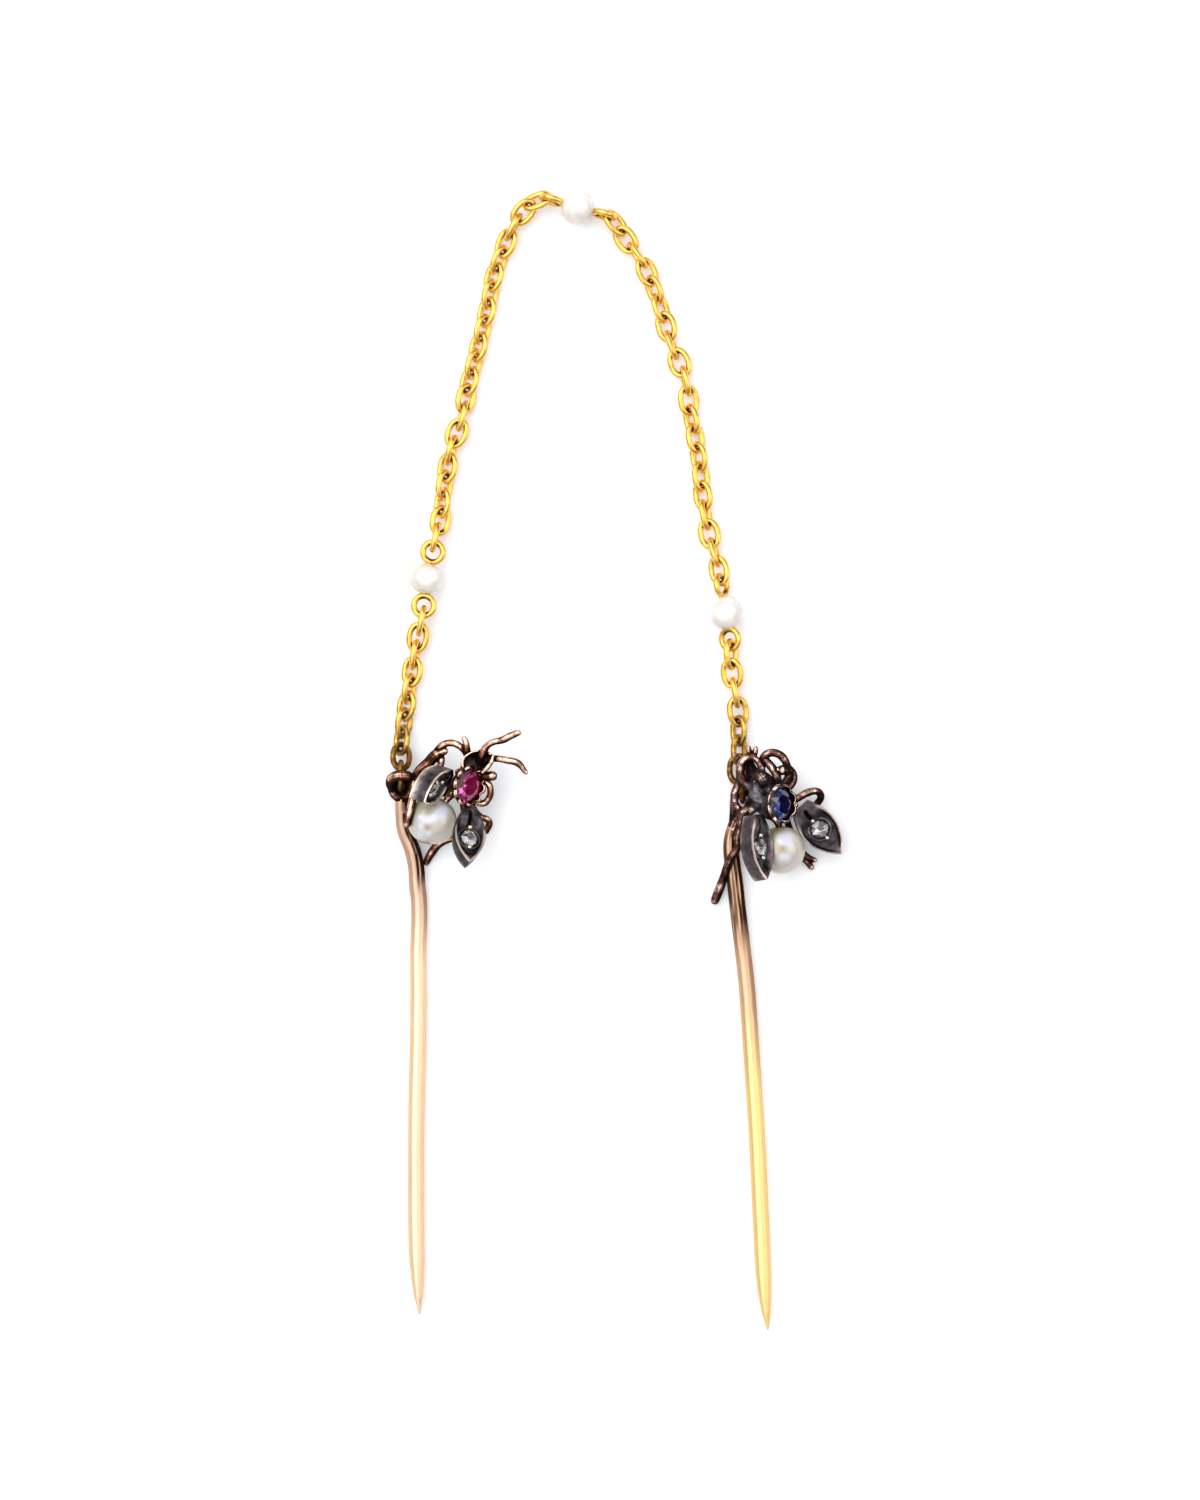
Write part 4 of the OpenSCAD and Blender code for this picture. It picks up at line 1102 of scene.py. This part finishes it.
# Painted glints: patches of the foil about 0.7 mm across, some bright and some dark, as its creases would
# catch the light
painted_crease_glints = add(tree, "ShaderNodeTexVoronoi", {"Vector": place, "Scale": 1300})
tone = add(tree, "ShaderNodeSeparateColor", {"Color": painted_crease_glints.outputs["Color"]})
ramp = ramped(tree, tone.outputs["Red"], {0.3: linear("#5c575c"), 0.5: linear("#fdfbfc")})
tree.links.new(ramp.outputs["Color"], shader.inputs["Base Color"])
for name, wing in wings.items():
    node = name.replace("wing", "diamond")
    bm = faceted(rose_rings, rose_turn)
    bmesh.ops.translate(bm, verts=bm.verts, vec=(wing["middle"], 0, seat_z))
    bmesh.ops.transform(bm, verts=bm.verts, matrix=wing["lie"])
    finish_piece(node + "_stone", bm, [diamond], [node], smooth=False)
    bm = bmesh.new()
    bmesh.ops.create_cone(
        bm, cap_ends=True, segments=6, radius1=diamond_d / 2 - 0.03, radius2=0.25, depth=0.2
    )
    bmesh.ops.translate(bm, verts=bm.verts, vec=(wing["middle"], 0, foil_z))
    bmesh.ops.transform(bm, verts=bm.verts, matrix=wing["lie"])
    finish_piece(node + "_foil", bm, [grey_foil], [node], smooth=False)


# Abdomens: two larger pearls, each glued to a peg of the body. They are a little uneven, with a
# warm cream body colour that deepens to olive where the nacre is thin and, as painted shade, round
# their sides. Bluish white painted highlights lie on their tops.
cream_nacre, tree, shader = start_material(
    "cream_nacre",
    Roughness=0.24,
    IOR=1.55,
    Subsurface_Weight=0.25,
    Subsurface_Radius=(1.0, 0.8, 0.55),
    Subsurface_Scale=0.001,
    Coat_Weight=0.6,
    Coat_Roughness=0.1,
)
place = add(tree, "ShaderNodeTexCoord", {}).outputs["Object"]
# Thin patches of about 3 mm
patches = noise_texture(tree, place, 330, 2)
thin_and_rim_shade = attribute(tree, "thin_nacre_and_rim_shade")
painted_highlight = attribute(tree, "painted_highlight")
stain = attribute(tree, "stain")
# Thin nacre, and painted shade round the sides, deepen the cream to olive
thin = scaled(tree, patches.outputs["Fac"], 0.5, thin_and_rim_shade.outputs["Fac"])
thin = spread(tree, thin.outputs[0], 0.3, 1.15)
colour = mixed(tree, thin.outputs["Result"], linear("#c2bbae"), linear("#9c8c58"))
# Painted highlights of bluish white
colour = mixed(tree, painted_highlight.outputs["Fac"], colour.outputs["Result"], linear("#d2d5df"))
colour = mixed(tree, stain.outputs["Fac"], colour.outputs["Result"], linear("#a0845f"))
tree.links.new(colour.outputs["Result"], shader.inputs["Base Color"])
# Painted highlights lie in some places on top, each given as x and y from the pearl's middle and its
# reach, in mm. A stain marks the middle of the dimple. thin is how thin the nacre is on the side that
# thin_side points to, and rim how much painted shade darkens it to olive all round its sides.
abdomen_r = 2.15
dimple_depth = 0.02
abdomens = {
    "left_pearl": {
        "at": (-16.25, -5.39, 3.0), "shape": (1.03, 1.0, 1.0), "lumps": 0.03,
        "thin_side": (-0.2, 0.9, 0.3), "thin": 0.45, "rim": 0.35,
        "painted_highlight": [
            (-1, 0.25, 0.32), (-1, -0.45, 0.3), (-0.95, -1.15, 0.32), (-0.3, -1.12, 0.3), (-0.45, 0, 0.35),
            (0.1, 0.2, 0.4), (0.6, 0.6, 0.48), (1.1, 1, 0.48),
        ],
        "dimple": (-0.4, -0.6, 0.34),
    },
    "right_pearl": {
        "at": (15.01, -8.02, 2.6), "shape": (1.0, 1.0, 1.0), "lumps": 0.015,
        "thin_side": (-0.85, 0.5, 0.25), "thin": 1.2, "rim": 0.25,
        "painted_highlight": [
            (-0.1, 1.05, 0.45), (0.5, 1.1, 0.5), (0.6, 0.6, 0.4), (0.05, -0.62, 0.35), (0.5, -0.65, 0.35),
        ],
        "dimple": (0.1, 0.15, 0.36),
    },
}
for name, pearl in abdomens.items():
    bm = bmesh.new()
    marks = {mark: bm.verts.layers.float.new(mark) for mark in ("thin_nacre_and_rim_shade", "painted_highlight", "stain")}
    bmesh.ops.create_uvsphere(bm, u_segments=72, v_segments=48, radius=abdomen_r)
    bmesh.ops.scale(bm, verts=bm.verts, vec=pearl["shape"])
    dimple_x, dimple_y, dimple_r = pearl["dimple"]
    for vert in bm.verts:
        way = vert.co.normalized()
        side = ease(way.dot(Vector(pearl["thin_side"]).normalized()), 0.1, 0.95)
        # Thin nacre on one side, and painted shade round the sides
        vert[marks["thin_nacre_and_rim_shade"]] = pearl["thin"] * side + pearl["rim"] * ease(1 - way.z, 0.15, 0.95)
        x, y, top = vert.co.x, vert.co.y, ease(way.z, 0, 0.3)
        dent = top * exp(-((x - dimple_x) ** 2 + (y - dimple_y) ** 2) / dimple_r**2)
        # Painted highlights
        highlight_strength = sum(exp(-((x - u) ** 2 + (y - v) ** 2) / reach**2) for u, v, reach in pearl["painted_highlight"])
        vert[marks["painted_highlight"]] = top * min(1, 1.1 * highlight_strength)
        vert[marks["stain"]] = 0.75 * dent
        vert.co *= 1 - dimple_depth * dent
        vert.co *= 1 + pearl["lumps"] * noise.noise(vert.co * 0.55 + Vector(pearl["at"]) * 0.37)
    bmesh.ops.translate(bm, verts=bm.verts, vec=pearl["at"])
    finish_piece(name + "_nacre", bm, [cream_nacre], [name])
